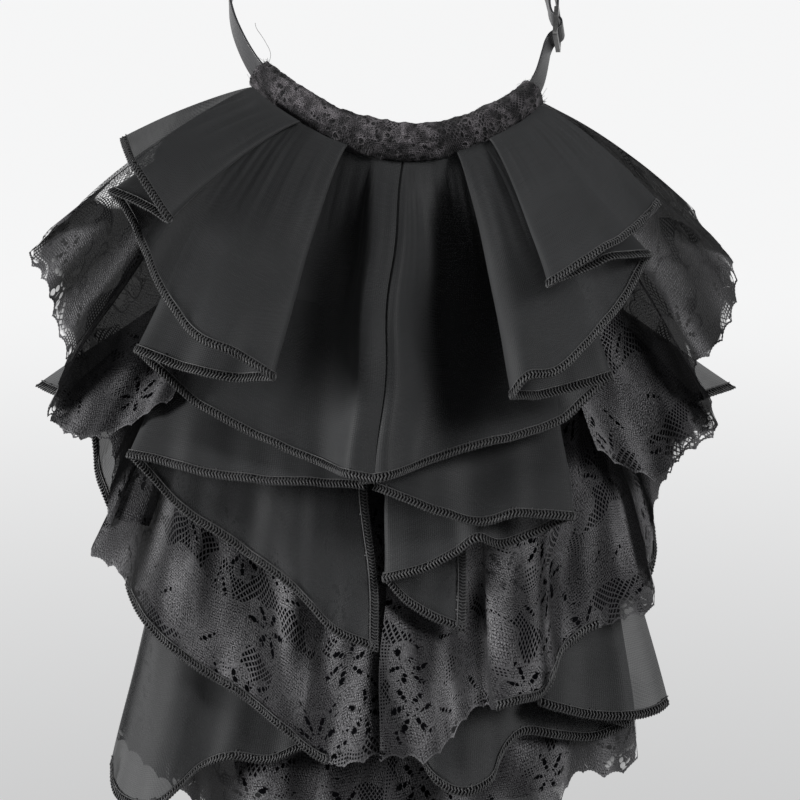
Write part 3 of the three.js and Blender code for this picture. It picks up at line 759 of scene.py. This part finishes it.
def lace_pattern():
    tree, place, out = group("lace_pattern", ["Cover", "Raise", "Tone"])
    x, y, _ = split(tree, place)
    elsewhere = vector_maths(tree, "ADD", place, (31, 7, 0))
    wx = x + (noise(tree, place, 0.06, 0.0) - 0.5) * LACE_DRIFT
    wy = y + (noise(tree, elsewhere, 0.055, 0.0) - 0.5) * LACE_DRIFT

    # Where the cloth is dense, and where it stays open: in one patch and at the start of a hem.
    field = noise(tree, elsewhere, 0.04, 1.0)
    patch_x = (x - PATCH_MIDDLE[0]) / PATCH_REACH[0]
    patch_y = (y - PATCH_MIDDLE[1]) / PATCH_REACH[1]
    patch = (patch_x * patch_x + patch_y * patch_y).under(0.7, 1.0)
    open_net = patch.do("MAXIMUM", x.under(6, 12))
    filled = field.over(0.495, 0.505) * (1 - open_net)
    outline = field.away_from(0.5).under(0.004, 0.01)
    petals, petal_rims, eyelets, slits = lace_flowers(tree, join(tree, wx, wy))
    leaves, leaf_rims, veins = lace_leaves(tree, wx, wy)
    holes = eyelets.do("MAXIMUM", veins * (1 - petals)).do("MAXIMUM", slits * 0.8)
    dense = (petals.do("MAXIMUM", leaves) * (1 - open_net)).do("MAXIMUM", filled)

    # The scalloped edge, with big openings beside it.
    inside, edge = lace_edge(x, y)
    gaps, chance, _ = cells(tree, join(tree, wx * 0.8, wy), BORDER_GAPS, 0.9)
    gap_size = Sum(tree, vector_maths(tree, "LENGTH", gaps))
    border = (y + field * 30).under(16, 18)
    openings = (gap_size - chance * 0.7).under(0.7, 0.95) * border
    loose = y.under(3, 11).do("MAXIMUM", open_net * 1.5)

    threads = dense * lace_knit(tree, wx, wy) + (1 - dense) * lace_ground(tree, place, wx, wy)
    cords = (petal_rims * 0.8).do("MAXIMUM", leaf_rims * (1 - petals) * 0.6)
    cords = cords.do("MAXIMUM", outline * 0.7).do("MAXIMUM", edge)
    worked = (threads * (1 - holes)).do("MAXIMUM", cords)
    # In the eyelets and between the threads the cloth stays mostly covered, less so near the hem and in
    # the open net, while its tone there is nothing: these openings are painted near black, as painted
    # shade of what lies under them.
    between = 0.965 - loose * 0.55
    solid = between + dense * (1 - holes) * (0.96 - between)
    cover = solid + worked * (1 - solid)
    cover = (cover * (1 - openings)).do("MAXIMUM", edge) * inside
    columns, rows = knit_waves(x, y)
    rise = noise(tree, place, 1.5, 0.0) * 0.8 + (columns + rows) * 0.4
    # Painted light and shade of folds: the tone is lighter and darker in long upright strips, as light
    # falls on folds.
    painted_fold_light = noise(tree, join(tree, x, y * 0.3), 0.075, 0.0).over(0.35, 0.65)
    tone = (threads * (1 - holes) * (dense * 0.4 + 0.6)).do("MAXIMUM", cords * 0.7)
    tone = tone * (painted_fold_light * 0.8 + 0.35)
    plug(tree, out, {"Cover": cover, "Raise": rise, "Tone": tone})
    return tree


WARP_PITCH = 0.9
WEFT_PITCH = 0.8


def chiffon_weave():
    tree, place, out = group("chiffon_weave", ["Cover", "Raise", "Tone"])
    x, y, _ = split(tree, place)
    drift = noise(tree, place, 0.035, 0.0)
    warp = (x + drift * 9).zigzag(WARP_PITCH) * 2
    weft = (y + drift * 7).zigzag(WEFT_PITCH) * 2
    slub = noise(tree, join(tree, x * 0.08, y * 1.6), 1.0, 1.0)
    lines = (x * 0.42 + y * 0.62 + drift * 14).zigzag() * drift.over(0.45, 0.6) * 2
    cover = 0.79 + warp * 0.04 + weft * 0.04 + slub * 0.05 + lines * 0.04
    rise = (x.zigzag(WARP_PITCH) + y.zigzag(WEFT_PITCH)) * 0.6
    plug(tree, out, {"Cover": cover, "Raise": rise, "Tone": lines * 0.2 + slub * 0.8})
    return tree


def material(name, colour, roughness, **sockets):
    """A material, its node tree and its surface shader."""
    made = bpy.data.materials.new(name)
    made.use_nodes = True
    made.diffuse_color = (*colour, 1)
    tree = made.node_tree
    surface = tree.nodes["Principled BSDF"]
    settings = {"Base Color": (*colour, 1), "Roughness": roughness}
    settings.update({key.replace("_", " "): value for key, value in sockets.items()})
    plug(tree, surface, settings)
    return made, tree, surface


METRES_TO_MM = (1000, 1000, 1000)


def cloth_place(tree):
    """The place on the cloth's own map, in mm."""
    source = tree.nodes.new("ShaderNodeUVMap")
    source.uv_map = "cloth"
    return vector_maths(tree, "MULTIPLY", source.outputs[0], METRES_TO_MM)


def body_place(tree):
    """The place in the frame, in mm."""
    source = tree.nodes.new("ShaderNodeTexCoord")
    return vector_maths(tree, "MULTIPLY", source.outputs["Object"], METRES_TO_MM)


def use_group(tree, made, place):
    used = tree.nodes.new("ShaderNodeGroup")
    used.node_tree = made
    tree.links.new(place, used.inputs["Place"])
    return [Sum(tree, used.outputs[key]) for key in ("Cover", "Raise", "Tone")]


def bump(tree, surface, height, depth):
    made = tree.nodes.new("ShaderNodeBump")
    plug(tree, made, {"Height": height, "Distance": depth * MM, "Strength": 1.0})
    tree.links.new(made.outputs[0], surface.inputs["Normal"])


def mix_colour(tree, share, low, high):
    made = tree.nodes.new("ShaderNodeMix")
    made.data_type = "RGBA"
    low, high = (v if isinstance(v, bpy.types.NodeSocket) else (*v, 1) for v in (low, high))
    plug(tree, made, {0: share, 6: low, 7: high})
    return made.outputs[2]


LACE = lace_pattern()
CHIFFON = chiffon_weave()


def make_chiffon():
    made, tree, surface = material(
        "black_chiffon", (0.018, 0.0185, 0.0195), 0.6,
        Specular_IOR_Level=0.16, Sheen_Weight=0.055, Sheen_Roughness=0.4,
    )
    place = cloth_place(tree)
    cover, rise, tone = use_group(tree, CHIFFON, place)
    facing = tree.nodes.new("ShaderNodeLayerWeight")
    facing.inputs["Blend"].default_value = 0.35
    slant = Sum(tree, facing.outputs["Facing"])
    _, y, _ = split(tree, place)
    hem = y.under(STITCH_REACH - 0.1, STITCH_REACH + 0.4)
    alpha = (cover + slant * 0.25 + hem).do("MINIMUM", 1.0)
    woven = mix_colour(tree, tone, (0.0145, 0.015, 0.0155), (0.022, 0.0225, 0.0235))
    colour = mix_colour(tree, hem, woven, (0.004, 0.004, 0.0045))
    plug(tree, surface, {"Alpha": alpha, "Base Color": colour})
    bump(tree, surface, rise, 0.12)
    return made


def make_lace():
    made, tree, surface = material(
        "black_lace", (0.02, 0.02, 0.022), 0.6, Sheen_Weight=0.03, Sheen_Roughness=0.5
    )
    cover, rise, tone = use_group(tree, LACE, cloth_place(tree))
    # The darkest colour, where the tone is nothing, is painted shade in the eyelets and between the
    # threads.
    colour = mix_colour(tree, tone, (0.0015, 0.0015, 0.002), (0.12, 0.118, 0.123))
    plug(tree, surface, {"Alpha": cover, "Base Color": colour, "Specular IOR Level": tone * 0.35})
    bump(tree, surface, rise, 0.35)
    return made


def make_band():
    made, tree, surface = material(
        "padded_lace", (0.05, 0.048, 0.052), 0.6,
        Specular_IOR_Level=0.12, Sheen_Weight=0.04, Sheen_Roughness=0.5,
    )
    place = cloth_place(tree)
    x, y, _ = split(tree, place)
    # The lace's tone brings its painted light and shade of folds onto the band.
    _, rise, tone = use_group(tree, LACE, join(tree, x * 1.3 + 90, y * 1.3 + 45))
    # Small eyelets in clusters, each with a raised rim. The roll stays opaque, and its eyelets are
    # painted near black: painted shade inside them.
    drawn = join(tree, x + noise(tree, place, 0.5) * 3, y * 0.85)
    away, chance, _ = cells(tree, drawn, 3.4, 1.0)
    distance = Sum(tree, vector_maths(tree, "LENGTH", away)) - chance * 0.5
    cluster = noise(tree, place, 0.085).over(0.46, 0.54)
    eyelet = distance.under(0.25, 0.55) * cluster
    rim = distance.away_from(0.85).under(0.1, 0.3) * cluster
    # The crumple raises the roll, and its low places are also painted darker: painted shade in the
    # creases.
    crumple_and_crease_shade = noise(tree, place, 0.25, 4.0)
    worked = (tone * (1 - eyelet)).do("MAXIMUM", rim * 0.6)
    worked = worked * (crumple_and_crease_shade.over(0.38, 0.6) * 0.9 + 0.3)
    # The darkest colour, where nothing is worked, is painted shade in the eyelets and between the
    # lace's threads; the creases are darkened towards it.
    colour = mix_colour(tree, worked, (0.002, 0.002, 0.0025), (0.13, 0.12, 0.128))
    plug(tree, surface, {"Base Color": colour})
    bump(tree, surface, rise + rim * 0.4 - eyelet * 0.6 + crumple_and_crease_shade * 2.6, 0.9)
    return made


def make_satin():
    made, tree, surface = material(
        "satin_strap", (0.03, 0.03, 0.032), 0.36,
        Specular_IOR_Level=0.3, Sheen_Weight=0.08, Sheen_Roughness=0.3,
    )
    x, y, _ = split(tree, cloth_place(tree))
    ribs = x.zigzag(0.9) * 2
    edges = y.zigzag(STRAP_WIDTH + 0.9).under(0.03, 0.09)
    wear = noise(tree, join(tree, x * 0.1, y), 0.7)
    colour = mix_colour(tree, wear, (0.014, 0.014, 0.015), (0.026, 0.026, 0.028))
    plug(tree, surface, {"Base Color": colour})
    bump(tree, surface, ribs * 0.6 + edges * 0.5 + wear * 0.3, 0.1)
    return made


def make_lining():
    made, tree, surface = material("black_lining", (0.015, 0.015, 0.017), 0.8)
    place = cloth_place(tree)
    x, y, _ = split(tree, place)
    worn = noise(tree, place, 0.05)
    colour = mix_colour(tree, worn, (0.010, 0.010, 0.011), (0.020, 0.020, 0.022))
    plug(tree, surface, {"Base Color": colour})
    bump(tree, surface, x.zigzag(0.7) + y.zigzag(0.7), 0.08)
    return made


def make_metal():
    made, tree, surface = material("dark_metal", (0.1, 0.1, 0.105), 0.3, Metallic=0.9)
    place = body_place(tree)
    worn = noise(tree, place, 0.6, 4.0)
    colour = mix_colour(tree, worn, (0.1, 0.1, 0.105), (0.3, 0.298, 0.29))
    plug(tree, surface, {"Base Color": colour, "Roughness": worn * 0.25 + 0.22})
    bump(tree, surface, noise(tree, place, 2.5), 0.04)
    return made


def make_thread():
    made, tree, surface = material(
        "black_thread", (0.02, 0.02, 0.021), 0.5,
        Specular_IOR_Level=0.3, Sheen_Weight=0.05, Sheen_Roughness=0.4,
    )
    place = body_place(tree)
    fuzz = noise(tree, place, 1.1)
    colour = mix_colour(tree, fuzz, (0.016, 0.016, 0.0165), (0.044, 0.044, 0.045))
    plug(tree, surface, {"Base Color": colour})
    bump(tree, surface, noise(tree, place, 4.0, 0.0), 0.08)
    return made


chiffon = make_chiffon()
lace = make_lace()
padded_lace = make_band()
satin = make_satin()
lining = make_lining()
dark_metal = make_metal()
thread = make_thread()

# The ruffles. Lengths are in millimetres.
COLUMN = 1.6
ROWS_DOWN = 64
SWELL_DEPTHS = {"lace": 1.6, "chiffon": 0.2}
PUCKER_DEPTH = 0.3
FINE_PLACES = 4000
PAST_NET = 80
EDGE_CUT = 9
SIDE_STITCH_FROM = 6
SIDE_STITCH_COLUMNS = 2
rng = np.random.default_rng(7)


def even_places(surface, span):
    """Places along a sheet that are evenly spaced along its hem, and how far along each is."""
    fine = np.linspace(0, span, FINE_PLACES)
    steps = np.linalg.norm(np.diff(surface(fine, 1.0), axis=0), axis=1)
    length = np.concatenate([[0], np.cumsum(steps)])
    count = int(length[-1] / COLUMN)
    along = np.linspace(0, length[-1], count + 1)
    return np.interp(along, length, fine), along


def drape(surface, span, flutter, depth, phase):
    """Points of a sheet, its map (along the hem and up from it), and the fold of each column.

    The hem flutters, the cloth swells lower down, and it puckers near its seam."""
    t, along = even_places(surface, span)
    down = np.linspace(0, 1, ROWS_DOWN + 1)
    points = surface(t[:, None], down[None, :])
    normal = grid_normals(points)
    a = along[:, None]
    waves = np.sin(a / 3.7 + phase) + 0.7 * np.sin(a / 5.9 + 2 * phase + 3 * down)
    waves = waves + 0.5 * np.sin(a / 2.1 + 3 * phase + 2 * down)
    ripple = flutter * down**3 * waves
    swells = np.sin(a / 8.7 + 1.9 * phase + down) + 0.6 * np.sin(a / 4.9 + phase - 1.5 * down)
    ripple = ripple + depth * np.sin(np.pi * down * 0.8) * swells
    pucker = np.sin(t[:, None] * 9.0 + phase) + np.sin(t[:, None] * 23.0 + 2.1 * phase)
    pucker = PUCKER_DEPTH * pucker * np.sin(np.pi * np.clip(down * 1.6, 0, 1)) * (1 - down) ** 2
    points = sway(points + normal * (ripple + pucker)[..., None])
    fall = np.linalg.norm(np.diff(points[:, ::-1], axis=1), axis=2)
    up = np.concatenate([np.zeros((len(t), 1)), np.cumsum(fall, axis=1)], 1)[:, ::-1]
    return points, np.stack(np.broadcast_arrays(a, up), -1), t


def overlock(name, edge, inner, nodes):
    """Looped stitches along an edge: edge and inner are points along it and further in."""
    steps = np.linalg.norm(np.diff(edge, axis=0), axis=1)
    length = np.concatenate([[0], np.cumsum(steps)])
    pitch = STITCH_PITCH
    at = np.arange(0.5 * pitch, length[-1] - 0.5 * pitch, pitch)

    def read(values, places):
        return np.stack([np.interp(places, length, values[:, k]) for k in range(3)], -1)

    start = read(edge, at)
    along = unit(read(edge, at + 0.8) - read(edge, at - 0.8))
    inwards = unit(read(inner, at) - start)
    normal = unit(np.cross(along, inwards))
    # Columns: along, inwards and up from the cloth, as one loop round the edge.
    loop = np.array([
        (-0.3, -0.55, 0.0),
        (-0.2, -0.1, 0.5),
        (0.6, 1.3, 0.7),
        (0.1, 2.2, 0.5),
        (0.5, STITCH_REACH, 0.2),
        (0.5, STITCH_REACH, -0.2),
        (0.1, 2.2, -0.5),
        (0.6, 1.3, -0.7),
        (-0.2, -0.1, -0.5),
    ])
    scale = 1 + STITCH_JITTER * rng.standard_normal((len(at), 1, 1))
    paths = start[:, None] + sum(
        axis[:, None] * loop[None, :, k, None] * (scale if k == 1 else 1)
        for k, axis in enumerate((along, inwards, normal))
    )
    stitches = tubes(name, paths, STITCH_RADIUS, 4, closed=True)
    # Three threads run the length of the stitching: one on the edge, and one on each face of the
    # cloth at the stitches' inner end.
    fine = np.linspace(0, length[-1], int(length[-1] / CORD_STEP))
    reach = unit(read(inner, fine) - read(edge, fine))
    skin = unit(np.cross(np.gradient(read(edge, fine), axis=0), reach))
    rim = read(edge, fine) - reach * 0.2
    chain = read(edge, fine) + reach * STITCH_REACH
    paths = np.array([rim, chain + skin * CORD_LIFT, chain - skin * CORD_LIFT])
    cords = tubes(name + "_cords", paths, CORD_RADIUS, 5, closed=False)
    bm = bmesh.new()
    bm.from_mesh(stitches)
    bm.from_mesh(cords)
    bm.to_mesh(stitches)
    bm.free()
    bpy.data.meshes.remove(cords)
    return finish_mesh(name, stitches, thread, nodes)


def area_of(points):
    a, b = points[1:, 1:] - points[:-1, :-1], points[1:, :-1] - points[:-1, 1:]
    return float(np.linalg.norm(np.cross(a, b), axis=-1).sum() / 2 * MM * MM)


TUCK = 2.6  # how far the cloth goes up into the neckband's seam


def band_seam(seat, ply):
    return under_band(seat, ply, TUCK)


def rear_seam(seat, ply):
    return under_band(seat, ply, TUCK + REAR_RISE)


MIDDLE = on_backing(MIDDLE_SEAM)
LOWER = on_backing(LOWER_SEAM)
ALL = (-1, 99)
NONE = (0, 0)
# Columns: node, seam, puff, bulge, spread, flutter of the hem, material, the folds between which the
# hem is stitched, and whether the last side edge is.
RUFFLES = [
    ("upper_chiffon_left", band_seam, 1.05, 1.5, 0.75, 0.35, chiffon, ALL, False),
    ("upper_chiffon_right", band_seam, 1.05, 1.5, 0.75, 0.35, chiffon, ALL, False),
    ("upper_lace_left", rear_seam, 0.9, 0, 0.85, 0.8, lace, NONE, False),
    ("upper_lace_right", rear_seam, 0.9, 0, 0.85, 0.8, lace, NONE, False),
    ("middle_chiffon_left", MIDDLE, 1.3, 0, 1, 0.35, chiffon, ALL, True),
    ("middle_chiffon_right", MIDDLE, 1.3, 0, 1, 0.35, chiffon, ALL, True),
    ("middle_lace_left", MIDDLE, 1.2, 0, 1, 0.8, lace, (7.3, 13.2), False),
    ("middle_lace_right", MIDDLE, 1.2, 0, 1, 0.8, lace, (6.0, 10.4), False),
    ("side_chiffon_left", MIDDLE, 1.15, 0, 1, 0.35, chiffon, ALL, False),
    ("side_chiffon_right", MIDDLE, 1.15, 0, 1, 0.35, chiffon, ALL, False),
    ("lower_chiffon_left", LOWER, 1.3, 0, 1, 0.35, chiffon, ALL, False),
    ("lower_chiffon_right", LOWER, 1.3, 0, 1, 0.35, chiffon, ALL, False),
    ("lower_lace_left", LOWER, 1.3, 0, 1, 0.8, lace, NONE, False),
    ("lower_lace_right", LOWER, 1.3, 0, 1, 0.8, lace, NONE, False),
]


def add_ruffle(number, node, seam_at, puff, bulge, spread, flutter, finish, stitched, side_edge):
    """The cloth of one ruffle and the stitches along its edges."""
    surface, span = hanging(FOLDS[node], seam_at, puff, bulge, spread)
    slot = "chiffon" if finish is chiffon else "lace"
    points, cloth_map, folds = drape(surface, span, flutter, SWELL_DEPTHS[slot], 1.7 * number)
    hem, drop = cloth_map[-1, -1, 0], cloth_map[:, 0, 1].mean()
    among = (folds > stitched[0]) & (folds < stitched[1])
    if finish is lace:
        # The lace's own scalloped edge is cut away where the hem is stitched.
        cloth_map[..., 1] += np.convolve(among, np.ones(EDGE_CUT), "same")[:, None]
        # Only the upper left lace has the patch of open net.
        cloth_map[..., 0] += 0 if node == "upper_lace_left" else PAST_NET
    mesh = grid_mesh(node + "_cloth", points, cloth_map)
    piece = finish_mesh(node + "_cloth", mesh, finish, [node])
    near = max(1, round(STITCH_REACH / (drop / ROWS_DOWN)))
    seams = [(points[among, -1], points[among, -1 - near])] if among.any() else []
    if side_edge:
        side_inner = points[-1 - SIDE_STITCH_COLUMNS, SIDE_STITCH_FROM:]
        seams.append((points[-1, SIDE_STITCH_FROM:], side_inner))
    stitching = [
        overlock(f"{node}_overlock_{k + 1}", edge, inner, [node])
        for k, (edge, inner) in enumerate(seams)
    ]
    rests = "neckband" if seam_at in (band_seam, rear_seam) else "backing_cloth"
    area = area_of(points)


for number, row in enumerate(RUFFLES):
    add_ruffle(number, *row)

# The backing. Its map is a little narrower than the cloth laid flat.
BACKING_COLUMNS = 60
BACKING_ROWS = 90
BACKING_FLAT = (200, 265)
BACKING_MAP_WIDTH = 190
shares = np.linspace(0, 1, BACKING_COLUMNS)
downs = np.linspace(0, 1, BACKING_ROWS)
seats = np.linspace(BACKING_FOLDS[0][0], BACKING_FOLDS[-1][0], BACKING_COLUMNS)
back_points = sway(backing(shares[:, None], np.broadcast_to(downs, (BACKING_COLUMNS, BACKING_ROWS))))
back_points[:, 0] += neck_frame(seats)[2] * TUCK
back_map = np.broadcast_arrays(shares[:, None] * BACKING_MAP_WIDTH, (1 - downs)[None] * BACKING_FLAT[1])
back_mesh = grid_mesh("backing_cloth_sheet", back_points, np.stack(back_map, -1))
piece = finish_mesh("backing_cloth_sheet", back_mesh, lining, ["backing_cloth"])
area_of(back_points)

# The neckband: a soft padded roll, crumpled where the lace is drawn tight, with frayed ends.
BAND_STEPS = 340
BAND_SIDES = 60
BAND_SPAN = 124
turns = np.linspace(BAND_LEFT_END, BAND_RIGHT_END, BAND_STEPS)
share = np.linspace(0, 1, BAND_STEPS)
angle = 2 * np.pi * np.arange(BAND_SIDES) / BAND_SIDES
_, away, up = neck_frame(turns)


def creases(length, seed):
    """Ridges that wander over the roll, about a length in mm apart, as shares from 0 to 1."""
    chance = np.random.default_rng(seed)
    total = 0
    for _ in range(6):
        waves = chance.uniform(0.5, 1.1) * BAND_SPAN / length
        round_it = chance.integers(-4, 5)
        phase = chance.uniform(0, 2 * np.pi)
        total = total + np.sin(2 * np.pi * waves * share[:, None] + round_it * angle + phase)
    return 1 - np.clip(np.abs(total) / 2.4, 0, 1)


size = 1 - 0.12 * np.abs(2 * share - 1) ** 4 + 0.03 * np.sin(share * 19)
girth = size[:, None] * (0.95 + 0.09 * creases(16, 5) + 0.035 * creases(6, 8))
out_of_neck = away[:, None] * (girth * np.cos(angle) * BAND_DEPTH / 2)[..., None]
upwards = up[:, None] * (girth * np.sin(angle) * BAND_HEIGHT / 2)[..., None]
rings = neck_point(turns)[:, None] + out_of_neck + upwards
band = loft("neckband_roll", rings, padded_lace, ["neckband"])


FRAY_RADIUS = 0.07
FRAY_COUNT = 60
FRAY_LENGTH = 3
STRAY_RADIUS = 0.11


def frayed(name, starts, way):
    """Fine threads that start in the cloth and curl away, each by its own length."""
    count = len(starts)
    s = np.linspace(0, 1, 10)[None, :, None]
    length = FRAY_LENGTH * rng.uniform(0.3, 1, (count, 1, 1)) ** 1.6
    heading = unit(way + rng.normal(0, 0.5, (count, 3)))[:, None]
    curl = rng.normal(0, 1, (2, count, 1, 3))
    paths = starts[:, None] + length * (heading * s + 0.35 * curl[0] * s**2 + 0.25 * curl[1] * s**3)
    mesh = tubes(name, paths, FRAY_RADIUS, 3, closed=False)
    return finish_mesh(name, mesh, thread, ["neckband"])


for name, end, side in (("left", 0, -1), ("right", -1, 1)):
    picked = rng.integers(0, BAND_SIDES, FRAY_COUNT)
    starts = rings[end, picked] * 0.96 + rings[end].mean(0) * 0.04
    frayed(f"neckband_frayed_{name}", starts, side * neck_frame(turns[end])[0])

# One longer thread stands loose beside the left strap.
s = np.linspace(0, 1, 24)[:, None]
start = rings[4, BAND_SIDES // 4]
stray = start + s * [-3.5, 1, 17] + np.sin(s * 5.2) * [1.6, 0, 0.6] + np.sin(s * 11) * [0.3, 0.2, 0]
mesh = tubes("neckband_stray_thread", stray[None], STRAY_RADIUS, 4, closed=False)
finish_mesh("neckband_stray_thread", mesh, thread, ["neckband"])

# The straps.
BAR_WRAP = 2.1
DEGREES_PER_MM = 180 / (math.pi * NECK_HALF_DEPTH)
CLASP_BAR = 174
LEFT_TAIL = 14
RIGHT_TAIL_START = 94
SLIDER_TURN = 79
SLIDER_LENGTH = 15
SLIDER_LIFT = 3.4
SLIDER_DEGREES_PER_MM = 0.7


def stretch(start, end, lift, steps):
    """Evenly spaced places of a strap that keeps one lift."""
    return [(turn, lift) for turn in np.linspace(start, end, steps + 1)]


def turn_back(turn, direction):
    """Places of a strap that turns back round a bar."""
    angles = [math.pi * (s + 1) / 8 for s in range(7)]
    return [
        (turn + direction * BAR_WRAP * math.sin(a) * DEGREES_PER_MM, BAR_WRAP * (1 - math.cos(a)))
        for a in angles
    ]


def strap(name, route, node):
    """A flat strap along a route of angles round the neck and lifts from it."""
    route = np.array(route, float)
    path = neck_point(route[:, 0]) + neck_frame(route[:, 0])[1] * route[:, 1:]
    t = np.linspace(0, len(route) - 1, 8 * len(route))
    turns = np.interp(t, np.arange(len(route)), route[:, 0])
    centre = spline(path, t)
    across = neck_frame(turns)[2]
    face = unit(np.cross(np.gradient(centre, axis=0), across))
    # Columns: across the strap and through it, as shares of its half width and half thickness.
    corners = np.array([
        (-1, -0.4), (-1, 0.4), (-0.96, 0.9), (-0.9, 1), (-0.45, 1), (0, 1), (0.45, 1), (0.9, 1),
        (0.96, 0.9), (1, 0.4), (1, -0.4), (0.96, -0.9), (0.9, -1), (0, -1), (-0.9, -1), (-0.96, -0.9),
    ])
    rings = centre[:, None] + across[:, None] * corners[None, :, :1] * STRAP_WIDTH / 2
    rings = rings + face[:, None] * corners[None, :, 1:] * STRAP_THICKNESS / 2
    return loft(name, rings, satin, [node])


# Columns: ahead of the slider's middle, in mm, and lift.
THROUGH_SLIDER = [
    (-13, 0), (-9.5, 0.1), (-7.5, 0.5), (-5.1, 1.4), (-1.6, 5.2), (1.6, 5.2), (5.1, 1.4), (7.5, 0.5),
    (9.5, 0.1), (13, 0),
]


def beside_slider(ahead, lift):
    """A place of the strap, counted from the middle of the slider."""
    return (SLIDER_TURN + ahead * SLIDER_DEGREES_PER_MM, lift)


strap(
    "strap_left_ribbon",
    stretch(BAND_LEFT_END - 0.45, -CLASP_BAR, 0, 22)
    + turn_back(-CLASP_BAR, -1)
    + stretch(-CLASP_BAR, -CLASP_BAR + LEFT_TAIL, 2 * BAR_WRAP, 3),
    "strap_left",
)
strap(
    "strap_right_ribbon",
    [(BAND_RIGHT_END + 0.45, 0), (63, 0)]
    + [beside_slider(*row) for row in THROUGH_SLIDER]
    + stretch(RIGHT_TAIL_START, CLASP_BAR, 0, 15)
    + turn_back(CLASP_BAR, 1)
    + stretch(CLASP_BAR, RIGHT_TAIL_START, 2 * BAR_WRAP, 15)
    + [beside_slider(SLIDER_LENGTH / 2 + SEAT_GAP, SLIDER_LIFT)],
    "strap_right",
)

# The metal pieces are the frame's own, in dark metal.
for node in ("strap_slider", "back_clasp"):
    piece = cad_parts[node]
    piece.data.materials.clear()
    piece.data.materials.append(dark_metal)

# The floor: a wide pale bowl, flat in the middle, that glows more further out. Lengths in metres.
FLOOR_HALF_WIDTH = 40
FLOOR_LEVEL = -1
FLOOR_FLAT_RADIUS = 12
FLOOR_RIM_WIDTH = 16
FLOOR_RIM_RISE = 7
bm = bmesh.new()
bmesh.ops.create_grid(bm, x_segments=60, y_segments=60, size=FLOOR_HALF_WIDTH)
for v in bm.verts:
    rim = min(max((v.co.xy.length - FLOOR_FLAT_RADIUS) / FLOOR_RIM_WIDTH, 0), 1)
    v.co.z = FLOOR_LEVEL + FLOOR_RIM_RISE * rim * rim * (3 - 2 * rim)
floor_mesh = bpy.data.meshes.new("floor")
bm.to_mesh(floor_mesh)
bm.free()
floor = bpy.data.objects.new("floor", floor_mesh)
bpy.context.scene.collection.objects.link(floor)
floor_mesh.shade_smooth()
floor.visible_diffuse = False
floor_material, tree, surface = material("pale_floor", (0.8, 0.8, 0.8), 0.9, Specular_IOR_Level=0.0)
x, y, _ = split(tree, body_place(tree))
from_middle = (x * x + y * y).do("SQRT") * MM
glow = from_middle.over(-2.5, 5.5) * 0.66 + 0.17
plug(tree, surface, {"Emission Color": (1, 1, 1, 1), "Emission Strength": glow})
floor_material.cycles.emission_sampling = "NONE"
floor_mesh.materials.append(floor_material)

# The lights, with their distance from the place that they aim at.
LIGHT_DISTANCE = 1.75
LIGHT_SPREAD = math.radians(38)
AIM = Vector((0, -0.08, -0.1))


def strip_light(name, turn, rise, width, height, energy):
    """A tall soft light, turned from the front and raised by angles in degrees."""
    light = bpy.data.lights.new(name, "AREA")
    light.energy = energy
    light.shape = "RECTANGLE"
    light.size = width
    light.size_y = height
    light.spread = LIGHT_SPREAD
    turn, rise = math.radians(turn), math.radians(rise)
    level = math.cos(rise)
    way = Vector((math.sin(turn) * level, -math.cos(turn) * level, math.sin(rise)))
    lamp = bpy.data.objects.new(name, light)
    bpy.context.scene.collection.objects.link(lamp)
    lamp.location = AIM + way * LIGHT_DISTANCE
    lamp.rotation_euler = way.to_track_quat("Z", "Y").to_euler()


strip_light("left_light", -76, 12, 0.4, 0.9, 4.1)
strip_light("right_light", 57, 30, 0.4, 1.4, 3.3)

world = bpy.data.worlds.new("studio")
world.use_nodes = True
world.node_tree.nodes["Background"].inputs["Color"].default_value = (0.9, 0.92, 0.95, 1)
world.node_tree.nodes["Background"].inputs["Strength"].default_value = 0.12
bpy.context.scene.world = world
bpy.context.scene.view_settings.view_transform = "Standard"

# The camera looks a little down at the collar, from a metre away.
CAMERA_AIM = Vector((0, -0.085, -0.1468))
ELEVATION = math.radians(12)
camera_data = bpy.data.cameras.new("camera")
camera_data.lens = 112.5
camera_data.sensor_width = 36
camera_data.clip_end = 200
camera = bpy.data.objects.new("camera", camera_data)
bpy.context.scene.collection.objects.link(camera)
look = Vector((0, math.cos(ELEVATION), -math.sin(ELEVATION)))
camera.location = CAMERA_AIM - look
camera.rotation_euler = look.to_track_quat("-Z", "Y").to_euler()
bpy.context.scene.camera = camera
